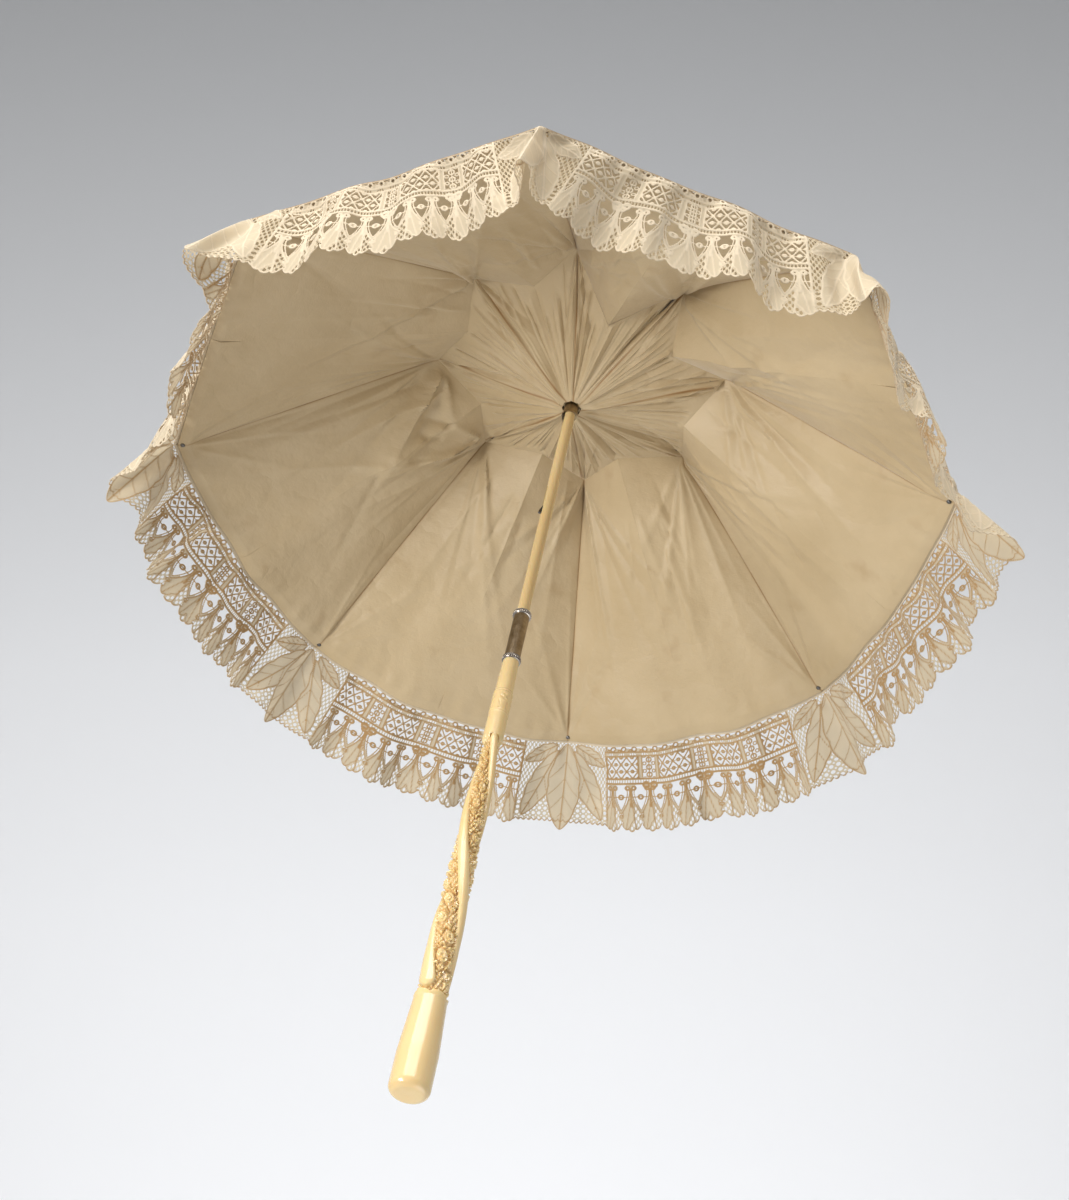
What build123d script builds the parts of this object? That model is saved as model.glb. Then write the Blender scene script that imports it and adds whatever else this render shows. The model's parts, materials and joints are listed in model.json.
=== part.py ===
"""Folding lace parasol of about 1865: carved ivory stick, eight-rib frame, silk canopy, lace cover.

Millimetres. +Z runs up the stick towards the crown, and the origin is on the stick's axis at the
middle of the true cylinder near the butt of the grip. The canopy is open and the stick is straight.
"""
from build123d import *
import os
from math import acos, atan2, cos, degrees, hypot, radians, sin, tan

# Stick: distances above the butt of the grip
BUTT_Z = -14.0
GRIP_TOP = 53.0
COLLAR_TOP = 62.0
CARVING_TOP = 230.0
BAND_LOW, BAND_HIGH = 247.0, 265.0
NECK_TOP = 289.5
SLEEVE_LENGTH = 40.0
RUNNER_BOTTOM = 513.0
GRIP_R, GRIP_TOP_R, COLLAR_R = 10.4, 8.6, 9.7
CARVING_LOW_R, CARVING_HIGH_R = 8.0, 5.7
COLLAR_LIP, TAPER_START = 2.0, 140.0
BAND_RISE, BAND_STEP = 0.25, 0.35
NECK_BAND_R, NECK_TOP_R = 5.5, 4.65
GRIP_CYLINDER = 18.0
BUTT_ROUND = 4.0

# Shaft, its folding hinge and the sleeve that locks it
SHAFT_R = 3.5
SLEEVE_IN_R, SLEEVE_OUT_R, RING_R = 3.9, 4.6, 5.55
RING_HEIGHT = 3.2
SLEEVE_CLEARANCE = 0.1
HINGE_ABOVE_SLEEVE_END = 5.0
HINGE_SETBACK = 4.4
EYE_R = 2.2
TONGUE_T, EAR_GAP, EAR_T = 1.7, 1.9, 1.35
HINGE_PIN_R, PIN_PLAY = 0.9, 0.03
SHANK_R, TONGUE_SHANK_R, SHANK_DEPTH = 2.6, 2.0, 12.0
FOLD_AZIMUTH = 22.5

# Frame: heights above the runner's lower end
RIBS = 8
RIB_STEP = 360 / RIBS
PIVOT_R = 6.5
NOTCH_Z = 86.0
HUB_Z = 11.0
JOINT_R, JOINT_Z = 95.0, 51.0
TIP_R, TIP_Z = 240.0, -56.0
CLOSED_TIP_R = 26.0
RIB_R = 1.15
TIP_BALL_R = 1.6
RIB_EYE_R, RIB_EYE_BORE_R = 1.4, 0.75
EYE_T = 1.6
ROD_R = 0.8
ROD_EYE_R, ROD_EYE_BORE_R = 1.3, 0.65
HUB_R, HUB_HEIGHT = 8.2, 5.0
SLOT_W = 2.0
SLOT_FLOOR_R = 4.95
WIRE_R = 0.45
WIRE_BORE_R = 0.55
RUNNER_IN_R, RUNNER_OUT_R, RUNNER_LENGTH = 3.65, 4.7, 16.0
RIVET_R, RIVET_PLAY, RIVET_LENGTH = 0.7, 0.06, 5.4
FORK_REACH = 8.0
CHEEK_IN, CHEEK_OUT, CHEEK_H = 1.45, 2.35, 1.6
KNUCKLE_R = 1.5

# Cloth: distances from the ribs' centre lines, along their normals
COVER_IN, COVER_OUT = 2.4, 2.9
LACE_IN, LACE_OUT = 3.7, 4.4
LINING_IN, LINING_OUT = -2.1, -1.6
CLOTH_SPANS = 6
SEAM_GAP = 0.15
COVER_START_R, LACE_START_R, LINING_START_R = 10.0, 18.0, 102.0
COVER_RIM_IN, LINING_RIM_IN = 1.0, 4.0
LACE_EDGE_R = 243.0
FALL_R, FALL_T, FALL_LENGTH = 246.0, 1.0, 50.0
LACE_STIFFNESS = 0.45
# The way the lace hangs while the open parasol is held leaning on its side
HANG = Vector(-0.087, -0.683, -0.725)
STAR_IN, STAR_OUT = (10.0, 7.0), (91.0, 44.0)
STAR_T = 0.5

# Crown: outlines as (distance from the stick, height above the piece's base)
CAP_Z, ROSETTE_Z, FERRULE_Z = 89.2, 93.6, 96.8
SHAFT_TOP = 103.0
CAP_PROFILE = [(SHAFT_R, 0), (9.0, 0), (9.0, 1.0), (6.5, 3.2), (SHAFT_R, 4.0)]
ROSETTE_PROFILE = [(3.6, 0), (15.0, -1.2), (15.0, 0.4), (6.5, 2.8), (3.6, 2.8)]
FERRULE_PROFILE = [
    (0, 0), (5.6, 0), (6.2, 1.5), (5.6, 3.0), (4.4, 4.2), (4.9, 8.0),
    (3.9, 17.0), (4.4, 18.5), (3.9, 20.0), (2.9, 21.0), (2.9, 37.0), (1.9, 38.0), (0, 38.0),
]

# Spring catches: thin blades sunk in slots in the shaft
CATCH_T, CATCH_SLOT_W = 1.4, 1.9
CATCH_DEPTH = 0.8
CATCH_OUT_R = 5.1
CATCH_LENGTH, CATCH_BUTTON = 26.0, 12.0
BLADE_T, BUTTON_SLANT = 0.9, 1.5
TOP_CATCH_Z, HAND_CATCH_Z = -0.3, -96.5
CATCH_AZIMUTH = 22.5

HALF = radians(RIB_STEP / 2)
RUNNER_Z = BUTT_Z + RUNNER_BOTTOM
HINGE_Z = BUTT_Z + NECK_TOP + HINGE_ABOVE_SLEEVE_END
TOP_CATCH_FOOT = RUNNER_Z + TOP_CATCH_Z
HAND_CATCH_FOOT = RUNNER_Z + HAND_CATCH_Z


def from_butt(height):
    return BUTT_Z + height


def arc_circle():
    """Centre and radius of the circle through a rib's pivot, joint and tip, heights from the runner."""
    (ax, ay), (bx, by), (cx, cy) = (PIVOT_R, NOTCH_Z), (JOINT_R, JOINT_Z), (TIP_R, TIP_Z)
    d = 2 * (ax * (by - cy) + bx * (cy - ay) + cx * (ay - by))
    a2, b2, c2 = ax * ax + ay * ay, bx * bx + by * by, cx * cx + cy * cy
    ux = (a2 * (by - cy) + b2 * (cy - ay) + c2 * (ay - by)) / d
    uy = (a2 * (cx - bx) + b2 * (ax - cx) + c2 * (bx - ax)) / d
    return ux, uy, hypot(ax - ux, ay - uy)


ARC_X, ARC_Z, ARC_R = arc_circle()


def slope_at(r):
    """Slope angle of a rib's centre line at a distance r from the stick."""
    return atan2(r - ARC_X, (ARC_R**2 - (r - ARC_X) ** 2) ** 0.5)


def rib_point(slope, offset=0.0):
    """(distance from the stick, height) of the point on a rib with this slope, moved out by offset."""
    reach = ARC_R + offset
    return ARC_X + reach * sin(slope), RUNNER_Z + ARC_Z + reach * cos(slope)


def turned(shape, azimuth):
    return shape.rotate(Axis.Z, azimuth)


def post(radius, low, high):
    """A cylinder on the stick's axis between two heights."""
    return Pos(0, 0, low) * Cylinder(
        radius, high - low, align=(Align.CENTER, Align.CENTER, Align.MIN)
    )


def tube(outer, inner, low, high):
    return post(outer, low, high) - post(inner, low, high)


def rod(start, end, radius):
    """A round bar from one point to another."""
    run = Vector(*end) - Vector(*start)
    return Plane(origin=start, z_dir=run) * Cylinder(
        radius, run.length, align=(Align.CENTER, Align.CENTER, Align.MIN)
    )


def turned_profile(points):
    """Revolves a closed (r, z) outline about the stick's axis."""
    face = make_face(Polyline(*[(r, 0, z) for r, z in points], close=True))
    return revolve(face, Axis.Z)


def cross_pin(r, z, radius, length):
    """A pin in the XZ plane at (r, z), with its axis along Y."""
    return Pos(r, 0, z) * Rot(90, 0, 0) * Cylinder(radius, length)


# ---- Ivory stick ----


def grip():
    """Plain polished grip: a rounded butt, a true cylinder, then a slight taper to the collar."""
    top = from_butt(GRIP_TOP)
    body = turned_profile(
        [(0, BUTT_Z), (GRIP_R, BUTT_Z), (GRIP_R, GRIP_CYLINDER / 2), (GRIP_TOP_R, top), (0, top)]
    )
    butt = body.edges().sort_by(Axis.Z)[0]
    return fillet(butt, BUTT_ROUND)


def carved_stem():
    """The carved length of the stick: a tapering core with a flared collar at the grip."""
    low, collar, top = from_butt(GRIP_TOP), from_butt(COLLAR_TOP), from_butt(CARVING_TOP)
    return turned_profile(
        [(0, low), (COLLAR_R, low), (COLLAR_R, low + COLLAR_LIP), (CARVING_LOW_R, collar),
         (CARVING_LOW_R, from_butt(TAPER_START)), (CARVING_HIGH_R, top), (0, top)]
    )


def neck():
    """Smooth ivory neck with a narrow carved band, bored for the hinge's shank."""
    low, top = from_butt(CARVING_TOP), from_butt(NECK_TOP)
    outside = turned_profile(
        [(0, low), (CARVING_HIGH_R, low), (NECK_BAND_R, from_butt(BAND_LOW)),
         (NECK_BAND_R + BAND_RISE, from_butt(BAND_LOW) + 1), (NECK_BAND_R, from_butt(BAND_HIGH) - 1),
         (NECK_BAND_R - BAND_STEP, from_butt(BAND_HIGH)), (NECK_TOP_R, top), (0, top)]
    )
    return outside - post(SHANK_R, top - SHANK_DEPTH, top)


# ---- Folding hinge and sleeve ----


def eye_plate(thickness, direction):
    """A flat plate with a round eye at the fold's pivot, reaching up or down to the stick's end."""
    reach = HINGE_SETBACK
    plate = Pos(0, 0, HINGE_Z + direction * reach / 2) * Box(2 * EYE_R, thickness, reach)
    return plate + cross_pin(0, HINGE_Z, EYE_R, thickness) - cross_pin(
        0, HINGE_Z, HINGE_PIN_R + PIN_PLAY, thickness + 1
    )


def hinge_fork():
    """Lower half of the fold: a metal cap and shank in the neck, with two ears."""
    cap_top = HINGE_Z - HINGE_SETBACK
    neck_top = from_butt(NECK_TOP)
    cap = post(SHAFT_R, neck_top, cap_top)
    shank = post(SHANK_R, neck_top - SHANK_DEPTH, neck_top)
    ear_offset = (EAR_GAP + EAR_T) / 2
    ears = [Pos(0, side * ear_offset, 0) * eye_plate(EAR_T, -1) for side in (-1, 1)]
    return turned(cap + shank + ears[0] + ears[1], FOLD_AZIMUTH)


def hinge_pin():
    return turned(cross_pin(0, HINGE_Z, HINGE_PIN_R, EAR_GAP + 2 * EAR_T), FOLD_AZIMUTH)


def hinge_tongue():
    """Upper half of the fold: a tongue on a shank that is sunk in the shaft."""
    foot = HINGE_Z + HINGE_SETBACK
    shank = post(TONGUE_SHANK_R, foot, foot + SHANK_DEPTH)
    return turned(shank + eye_plate(TONGUE_T, 1), FOLD_AZIMUTH)


def sleeve_span():
    """Heights of the sleeve's ends, its lower one just clear of the neck."""
    low = from_butt(NECK_TOP)
    return low + SLEEVE_CLEARANCE, low + SLEEVE_LENGTH


def sleeve_tube():
    low, high = sleeve_span()
    return tube(SLEEVE_OUT_R, SLEEVE_IN_R, low, high)


def sleeve_rings():
    """Two turned rings with eased rims, one at each end of the sleeve."""
    low, sleeve_top = sleeve_span()
    high, ease = low + RING_HEIGHT, RING_HEIGHT / 4
    ring = turned_profile(
        [(SLEEVE_OUT_R, low), (RING_R - ease / 2, low), (RING_R, low + ease), (RING_R, high - ease),
         (RING_R - ease / 2, high), (SLEEVE_OUT_R, high)]
    )
    return [ring, Pos(0, 0, sleeve_top - high) * ring]


# ---- Shaft and catches ----


def catch_outline(button_foot, points_up):
    """(r, z) outline of a catch: a thin blade with a wedge whose flat face holds the runner."""
    d = 1 if points_up else -1
    inner, outer = CATCH_DEPTH, CATCH_DEPTH + BLADE_T
    return [
        (inner, button_foot), (CATCH_OUT_R, button_foot), (CATCH_OUT_R, button_foot - d * BUTTON_SLANT),
        (outer, button_foot - d * CATCH_BUTTON), (outer, button_foot - d * CATCH_LENGTH),
        (inner, button_foot - d * CATCH_LENGTH),
    ]


def catch(button_foot, points_up):
    outline = catch_outline(button_foot, points_up)
    face = make_face(Polyline(*[(r, 0, z) for r, z in outline], close=True))
    return turned(extrude(face, CATCH_T / 2, dir=(0, 1, 0), both=True), CATCH_AZIMUTH)


def catch_slot(button_foot, points_up):
    """The shaft's slot for a catch, deep enough to press it in flush."""
    d = 1 if points_up else -1
    middle = button_foot - d * CATCH_LENGTH / 2
    slot = Pos(SHAFT_R / 2 - 0.5, 0, middle) * Box(SHAFT_R + 1, CATCH_SLOT_W, CATCH_LENGTH + 1)
    return turned(slot, CATCH_AZIMUTH)


def upper_shaft():
    low, high = HINGE_Z + HINGE_SETBACK, RUNNER_Z + SHAFT_TOP
    stick = tube(SHAFT_R, TONGUE_SHANK_R, low, low + SHANK_DEPTH) + post(SHAFT_R, low + SHANK_DEPTH, high)
    return stick - catch_slot(TOP_CATCH_FOOT, True) - catch_slot(HAND_CATCH_FOOT, False)


# ---- Hubs ----


def wire_ring(z, radius):
    return Pos(0, 0, z) * Torus(PIVOT_R, radius)


def radial_slots(z, height):
    """Cutters for the eight slots that hold the rods' eyes."""
    cutter = Pos(SLOT_FLOOR_R + HUB_R / 2, 0, z) * Box(HUB_R, SLOT_W, height)
    return [turned(cutter, k * RIB_STEP) for k in range(RIBS)]


def slotted_hub(z, inner):
    hub = tube(HUB_R, inner, z - HUB_HEIGHT / 2, z + HUB_HEIGHT / 2) - wire_ring(z, WIRE_BORE_R)
    for cutter in radial_slots(z, HUB_HEIGHT + 2):
        hub -= cutter
    return hub


def crown_notch():
    return slotted_hub(RUNNER_Z + NOTCH_Z, SHAFT_R)


def crown_wire():
    return wire_ring(RUNNER_Z + NOTCH_Z, WIRE_R)


def runner():
    """Sliding runner: a plain tube with a slotted hub near its top."""
    hub = slotted_hub(RUNNER_Z + HUB_Z, RUNNER_OUT_R - 0.2)
    return tube(RUNNER_OUT_R, RUNNER_IN_R, RUNNER_Z, RUNNER_Z + RUNNER_LENGTH) + hub


def runner_wire():
    """The hub's wire, left out of the slots, where the rods' hooked ends lie open."""
    ring = wire_ring(RUNNER_Z + HUB_Z, WIRE_R)
    for cutter in radial_slots(RUNNER_Z + HUB_Z, HUB_HEIGHT):
        ring -= cutter
    return ring.solids()


# ---- Ribs and stretchers, modelled in the XZ plane ----


def rib():
    """One rib: eye in the notch, curved round rod, joint rivet and tip ball."""
    stations = [rib_point(slope_at(r)) for r in (PIVOT_R + 0.6, JOINT_R, TIP_R)]
    path = Edge.make_three_point_arc(*[(r, 0, z) for r, z in stations])
    section = Plane(origin=path @ 0, z_dir=path % 0) * Circle(RIB_R)
    bar = sweep(section, path=path)
    notch = RUNNER_Z + NOTCH_Z
    eye = cross_pin(PIVOT_R, notch, RIB_EYE_R, EYE_T)
    eye -= cross_pin(PIVOT_R, notch, RIB_EYE_BORE_R, 2 * EYE_T)
    for side in (-1, 1):
        bar -= Pos(PIVOT_R, side * (EYE_T / 2 + 1), notch) * Box(8, 2, 8)
    root = bar - cross_pin(PIVOT_R, notch, (RIB_EYE_R + RIB_EYE_BORE_R) / 2, 2 * EYE_T) + eye
    rivet = cross_pin(JOINT_R, RUNNER_Z + JOINT_Z, RIVET_R, RIVET_LENGTH)
    tip_r, tip_z = stations[-1]
    ball = Pos(tip_r, 0, tip_z) * Sphere(TIP_BALL_R)
    return root - rivet, rivet, ball


def rib_set(k):
    """A rib's solids at azimuth k: the rod fused with its ball, and the rivet through it."""
    bar, rivet, ball = rib()
    return [turned(s, k * RIB_STEP) for s in ((bar + ball).solids() + [rivet])]


def stretcher():
    """One stretcher: eye at the runner's hub, rod, and a fork astride the rib."""
    inner = Vector(PIVOT_R, 0, RUNNER_Z + HUB_Z)
    outer = Vector(JOINT_R, 0, RUNNER_Z + JOINT_Z)
    run = (outer - inner).normalized()
    bridge = outer - run * FORK_REACH
    eye = cross_pin(inner.X, inner.Z, ROD_EYE_R, EYE_T)
    eye -= cross_pin(inner.X, inner.Z, ROD_EYE_BORE_R, 2 * EYE_T)
    bar = rod(tuple(inner + run * (ROD_EYE_R + ROD_EYE_BORE_R) / 2), tuple(bridge), ROD_R)
    lean = degrees(atan2(run.Z, run.X))
    block = Pos(*bridge) * Rot(0, -lean, 0) * Box(CHEEK_H, 2 * CHEEK_OUT, CHEEK_H)
    whole = eye + bar + block
    for side in (-1, 1):
        y = side * (CHEEK_IN + CHEEK_OUT) / 2
        thick = CHEEK_OUT - CHEEK_IN
        middle = (outer + bridge) * 0.5
        cheek = Pos(middle.X, y, middle.Z) * Rot(0, -lean, 0) * Box(FORK_REACH, thick, CHEEK_H)
        knuckle = Pos(0, y, 0) * cross_pin(outer.X, outer.Z, KNUCKLE_R, thick)
        whole += cheek + knuckle
    return whole - cross_pin(outer.X, outer.Z, RIVET_R + RIVET_PLAY, 4 * CHEEK_OUT)


# ---- Cloth: each sector is two flat-chorded halves that meet on a rib ----


def cloth_profile(start_r, end_r, inner, outer):
    """The (distance, height) outline of a cloth sector in the plane midway between two ribs."""
    first, last = slope_at(start_r), slope_at(end_r)
    slopes = [first + (last - first) * i / CLOTH_SPANS for i in range(CLOTH_SPANS + 1)]
    chord = cos(HALF)
    lower = [(r * chord, z) for r, z in (rib_point(s, inner) for s in slopes)]
    upper = [(r * chord, z) for r, z in (rib_point(s, outer) for s in slopes)]
    return lower, upper


def cloth_half(lower, upper):
    """Half a sector beside the rib at azimuth 0, between the rib and the seam at half a step."""
    bottom = Spline(*[(r, 0, z) for r, z in lower])
    top = Spline(*[(r, 0, z) for r, z in upper])
    ends = Line(bottom @ 0, top @ 0) + Line(bottom @ 1, top @ 1)
    face = make_face(bottom + top + ends)
    reach = TIP_R * 1.1 * sin(HALF)
    bar = turned(extrude(face, reach, dir=(0, -1, 0)), RIB_STEP / 2)
    return bar & half_wedge()


def half_wedge():
    """The space between the rib's plane and the seam's plane, less a small gap at the seam."""
    near, far, height = 1.0, 1.5 * TIP_R, 2 * TIP_R
    along, across = Vector(cos(HALF), sin(HALF)), Vector(sin(HALF), -cos(HALF))
    corners = [along * reach + across * SEAM_GAP for reach in (far, near)]
    outline = Polyline((near, 0), (far, 0), *[(p.X, p.Y) for p in corners], close=True)
    return Pos(0, 0, RUNNER_Z - height / 2) * extrude(make_face(outline), height)


def cloth_sector(start_r, end_r, inner, outer):
    lower, upper = cloth_profile(start_r, end_r, inner, outer)
    half = cloth_half(lower, upper)
    return half + mirror(half, Plane.XZ)


def canopy_gore(k):
    """One silk sector: the cover above the rib and the lining below it, sewn together at the rim."""
    cover = cloth_sector(COVER_START_R, TIP_R - COVER_RIM_IN, COVER_IN, COVER_OUT)
    lining = cloth_sector(LINING_START_R, TIP_R - LINING_RIM_IN, LINING_IN, LINING_OUT)
    return [turned(s, k * RIB_STEP) for s in (cover, lining)]


def fall_direction(k):
    """The way the lace's free edge hangs at rib k: along the canopy's slope, bent down by its weight."""
    slope, azimuth = slope_at(TIP_R), radians(k * RIB_STEP)
    onward = Vector(cos(slope) * cos(azimuth), cos(slope) * sin(azimuth), -sin(slope))
    return (onward * LACE_STIFFNESS + HANG).normalized()


def lace_fall(k):
    """One sector of the lace's free edge beyond the rim, a slanting curtain along two chords."""
    z = rib_point(slope_at(LACE_EDGE_R), LACE_IN)[1]
    seam = Vector(cos(HALF), sin(HALF)) * FALL_R * cos(HALF) + Vector(sin(HALF), -cos(HALF)) * SEAM_GAP
    outer_seam = seam + Vector(cos(HALF), sin(HALF)) * FALL_T
    corner, outer_corner = FALL_R, FALL_R + FALL_T / cos(HALF)
    outline = Polyline(
        (corner, 0), (seam.X, seam.Y), (outer_seam.X, outer_seam.Y),
        (outer_corner, 0), (outer_seam.X, -outer_seam.Y), (seam.X, -seam.Y), close=True
    )
    face = turned(Pos(0, 0, z) * make_face(outline), k * RIB_STEP)
    return Solid.extrude(face.face(), fall_direction(k) * FALL_LENGTH)


def lining_star():
    """The lining's inner part, a shallow cone from the runner to the joints, under the stretchers."""
    (r0, z0), (r1, z1) = STAR_IN, STAR_OUT
    z0, z1 = z0 + RUNNER_Z, z1 + RUNNER_Z
    return turned_profile([(r0, z0 - STAR_T), (r1, z1 - STAR_T), (r1, z1), (r0, z0)])


# ---- Crown ----


def raised(profile, height):
    """Turns a profile whose heights count from the piece's base, height above the runner's end."""
    return turned_profile([(r, RUNNER_Z + height + z) for r, z in profile])


def crown_cap():
    return raised(CAP_PROFILE, CAP_Z)


def crown_rosette():
    return raised(ROSETTE_PROFILE, ROSETTE_Z)


def ferrule():
    """Turned ivory ferrule with a plain cylindrical tip, bored for the end of the shaft."""
    return raised(FERRULE_PROFILE, FERRULE_Z) - post(SHAFT_R, RUNNER_Z + FERRULE_Z, RUNNER_Z + SHAFT_TOP)


def write(name, shape):
    solids = shape if isinstance(shape, list) else [shape]
    flat = [s for item in solids for s in item.solids()]
    whole = flat[0] if len(flat) == 1 else Compound(flat)
    export_step(whole, f"parts/{name}.step")


def linkage():
    """Prints the closing angles and the runner's travel for the record."""
    rib_len = hypot(JOINT_R - PIVOT_R, NOTCH_Z - JOINT_Z)
    rod_len = hypot(JOINT_R - PIVOT_R, JOINT_Z - HUB_Z)
    tip_len = hypot(TIP_R - PIVOT_R, NOTCH_Z - TIP_Z)
    rib_rest = atan2(NOTCH_Z - JOINT_Z, JOINT_R - PIVOT_R)
    rod_rest = atan2(JOINT_Z - HUB_Z, JOINT_R - PIVOT_R)
    tip_rest = atan2(NOTCH_Z - TIP_Z, TIP_R - PIVOT_R)
    turn = acos((CLOSED_TIP_R - PIVOT_R) / tip_len) - tip_rest
    rib_end = rib_rest + turn
    rod_end = acos(rib_len * cos(rib_end) / rod_len)
    travel = HUB_Z - (NOTCH_Z - rib_len * sin(rib_end) - rod_len * sin(rod_end))
    print("rib turn", degrees(turn), "rod turn on rib", degrees(rib_end + rod_end - rib_rest - rod_rest))
    print("runner travel", travel, "runner z", RUNNER_Z, "hinge z", HINGE_Z)
    for k in range(RIBS):
        azimuth = radians(k * RIB_STEP)
        d = fall_direction(k)
        now = atan2(-d.Z, d.X * cos(azimuth) + d.Y * sin(azimuth))
        print("fall", k, "turn on rib", 92 - degrees(now + turn), "tip slope", degrees(slope_at(TIP_R)))


os.makedirs("parts", exist_ok=True)
SINGLE = {
    "grip": grip, "carved_stem": carved_stem, "neck": neck,
    "hinge_fork": hinge_fork, "hinge_pin": hinge_pin, "hinge_tongue": hinge_tongue,
    "sleeve_tube": sleeve_tube, "sleeve_rings": sleeve_rings, "upper_shaft": upper_shaft,
    "crown_notch": crown_notch, "crown_wire": crown_wire, "runner": runner,
    "runner_wire": runner_wire, "lining_star": lining_star, "crown_cap": crown_cap,
    "crown_rosette": crown_rosette, "ferrule": ferrule,
}
for name, make in SINGLE.items():
    write(name, make())
write("top_spring", catch(TOP_CATCH_FOOT, True))
write("hand_spring", catch(HAND_CATCH_FOOT, False))
ROD_SHAPE = stretcher()
LACE_SECTOR = cloth_sector(LACE_START_R, LACE_EDGE_R, LACE_IN, LACE_OUT)
for k in range(RIBS):
    write(f"rib_{k}", rib_set(k))
    write(f"stretcher_{k}", turned(ROD_SHAPE, k * RIB_STEP))
    write(f"canopy_gore_{k}", canopy_gore(k))
    write(f"lace_gore_{k}", turned(LACE_SECTOR, k * RIB_STEP))
    write(f"lace_fall_{k}", lace_fall(k))
linkage()
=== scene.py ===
"""The looks of the folding lace parasol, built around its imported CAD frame.

Shapes are worked out in millimetres in the frame's own axes, with the stick along +Z, and each
mesh is scaled to metres as it is made. A sector is the canopy from one gore's middle to the next,
with its rib in the middle. Sector 0 lies along +X.
"""
import json
import math

import bpy
import numpy as np
from mathutils import Matrix, Vector


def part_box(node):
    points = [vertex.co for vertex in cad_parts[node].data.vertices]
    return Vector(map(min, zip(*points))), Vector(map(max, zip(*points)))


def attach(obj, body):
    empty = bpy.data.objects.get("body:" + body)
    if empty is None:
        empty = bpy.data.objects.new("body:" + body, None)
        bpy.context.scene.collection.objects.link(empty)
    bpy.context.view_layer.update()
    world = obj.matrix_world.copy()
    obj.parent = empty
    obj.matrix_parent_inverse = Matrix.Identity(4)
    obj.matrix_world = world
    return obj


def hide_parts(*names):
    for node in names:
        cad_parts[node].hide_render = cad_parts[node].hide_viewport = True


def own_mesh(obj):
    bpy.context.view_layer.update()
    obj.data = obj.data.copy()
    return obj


MM = 0.001
RIBS = 8
STEP = math.tau / RIBS
HALF = STEP / 2

# Camera, in metres, and the way the parasol leans: DOWN is gravity in the frame's axes
DOWN = Vector((-0.0812, -0.7253, -0.6836)).normalized()
CAMERA_PLACE = Vector((-0.1892, 0.8806, -0.5845))
CAMERA_TARGET = Vector((-0.0048, -0.0010, 0.3290))
LENS, SENSOR = 66.09, 36.0
# The side of the stick that faces the camera
FRONT = math.radians(102.1)

# Silk, distances from the ribs' centre lines along their normals
COVER_OFFSET, LACE_OFFSET, PANEL_OFFSET = 2.6, 3.7, -2.2
# Where the silk and the lace start, as distances from the stick
COVER_START, LACE_START = 9.0, 17.0
# How far the cloth is pulled in midway between two ribs
GORE_SAG = 5.0
# How far the outer lining is tucked in behind the star, and the silk reaches past the ribs' tips
TUCK, RIM_LAP = 3.0, 2.2
# How far the rim bows out in the middle of a gore: more where the leaning canopy's cloth hangs low
RIM_BOW, RIM_BOW_LOW = 3.5, 6.5
# Height of the loose cloth's waves between the ribs' tips
RIM_WAVE = 1.3
SILK_T = 0.3
# How far inside the ribs' tips the outer lining reaches the rim
LINING_RIM_IN = 1.5
# The lining's folds: their gain, how high cloth may rise over a rib, and the seam's furrow
FOLD_GAIN, FOLD_ROOM, FURROW = 1.7, 0.5, 0.7
PLEAT_GAIN, PLEAT_RIDGE = 1.5, 0.8
# The inner lining's ring on the runner, and how far its corners hang below the ribs' joints
STAR_RING_R, STAR_RING_Z = 6.2, 7.5
STAR_DROP = 2.4
# Where each gore's lining dips in between two ribs: distance from the stick, height over the runner
APEXES = [(78, 42), (72, 45), (58, 26), (66, 36), (75, 33), (66, 34), (66, 33), (72, 40)]

# Lace: the cover's edge as a distance from the stick, and the depth of the border below it
LACE_EDGE = 243.0
FALL = 60.0
LACE_GRID, COVER_GRID = 0.5, 0.8
TOOTH = 11.6
# Bands of the border, as distances below the cover's edge
SCROLL_END, UPPER_TAPE, PANEL_ROWS, LOWER_TAPE = 3.6, (3.8, 6.4), (6.6, 21.0), (21.2, 24.4)
HEART_Y, TULIP_TOP, TULIP_WIDEST, TULIP_HALF = 25.2, 25.5, 30.0, 5.2
# The two trellis panels, as distances from a gore's middle, and the leaf groups' half width
PANELS, GROUP_HALF = ((6.4, 27.9), (41.2, 62.5)), 29.6

# Lengths of cloth as cut, in metres
COVER_LENGTH, PANEL_LENGTH, STAR_FLAT = 0.27, 0.18, (0.08, 0.1)

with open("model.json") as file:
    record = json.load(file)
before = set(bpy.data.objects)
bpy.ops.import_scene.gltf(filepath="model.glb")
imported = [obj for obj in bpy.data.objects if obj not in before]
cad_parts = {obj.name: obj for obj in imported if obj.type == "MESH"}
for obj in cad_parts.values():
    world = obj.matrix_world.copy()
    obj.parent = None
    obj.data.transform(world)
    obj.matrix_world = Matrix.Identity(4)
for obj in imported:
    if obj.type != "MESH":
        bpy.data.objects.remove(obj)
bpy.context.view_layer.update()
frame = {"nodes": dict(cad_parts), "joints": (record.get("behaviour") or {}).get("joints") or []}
JOINTS = {joint["name"]: joint for joint in frame["joints"]}


def joint_place(name):
    return np.array(JOINTS[name]["pos_m"]) / MM


PIVOT, JUNCTION, TIP = (joint_place(n) for n in ("rib_turn_0", "stretcher_turn_0", "lace_turn_0"))
RUNNER_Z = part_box("runner")[0].z / MM


def circle_through(a, b, c):
    """Centre and radius of the circle through three (distance, height) points."""
    a, b, c = complex(*a), complex(*b), complex(*c)
    w = (c - a) / (b - a)
    centre = (b - a) * (w - abs(w) ** 2) / (2j * w.imag) + a
    return centre.real, centre.imag, abs(a - centre)


ARC_X, ARC_Z, ARC_R = circle_through(PIVOT[[0, 2]], JUNCTION[[0, 2]], TIP[[0, 2]])
RIM_HALF = TIP[0] * math.sin(HALF)


# ---- Geometry helpers ----


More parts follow.
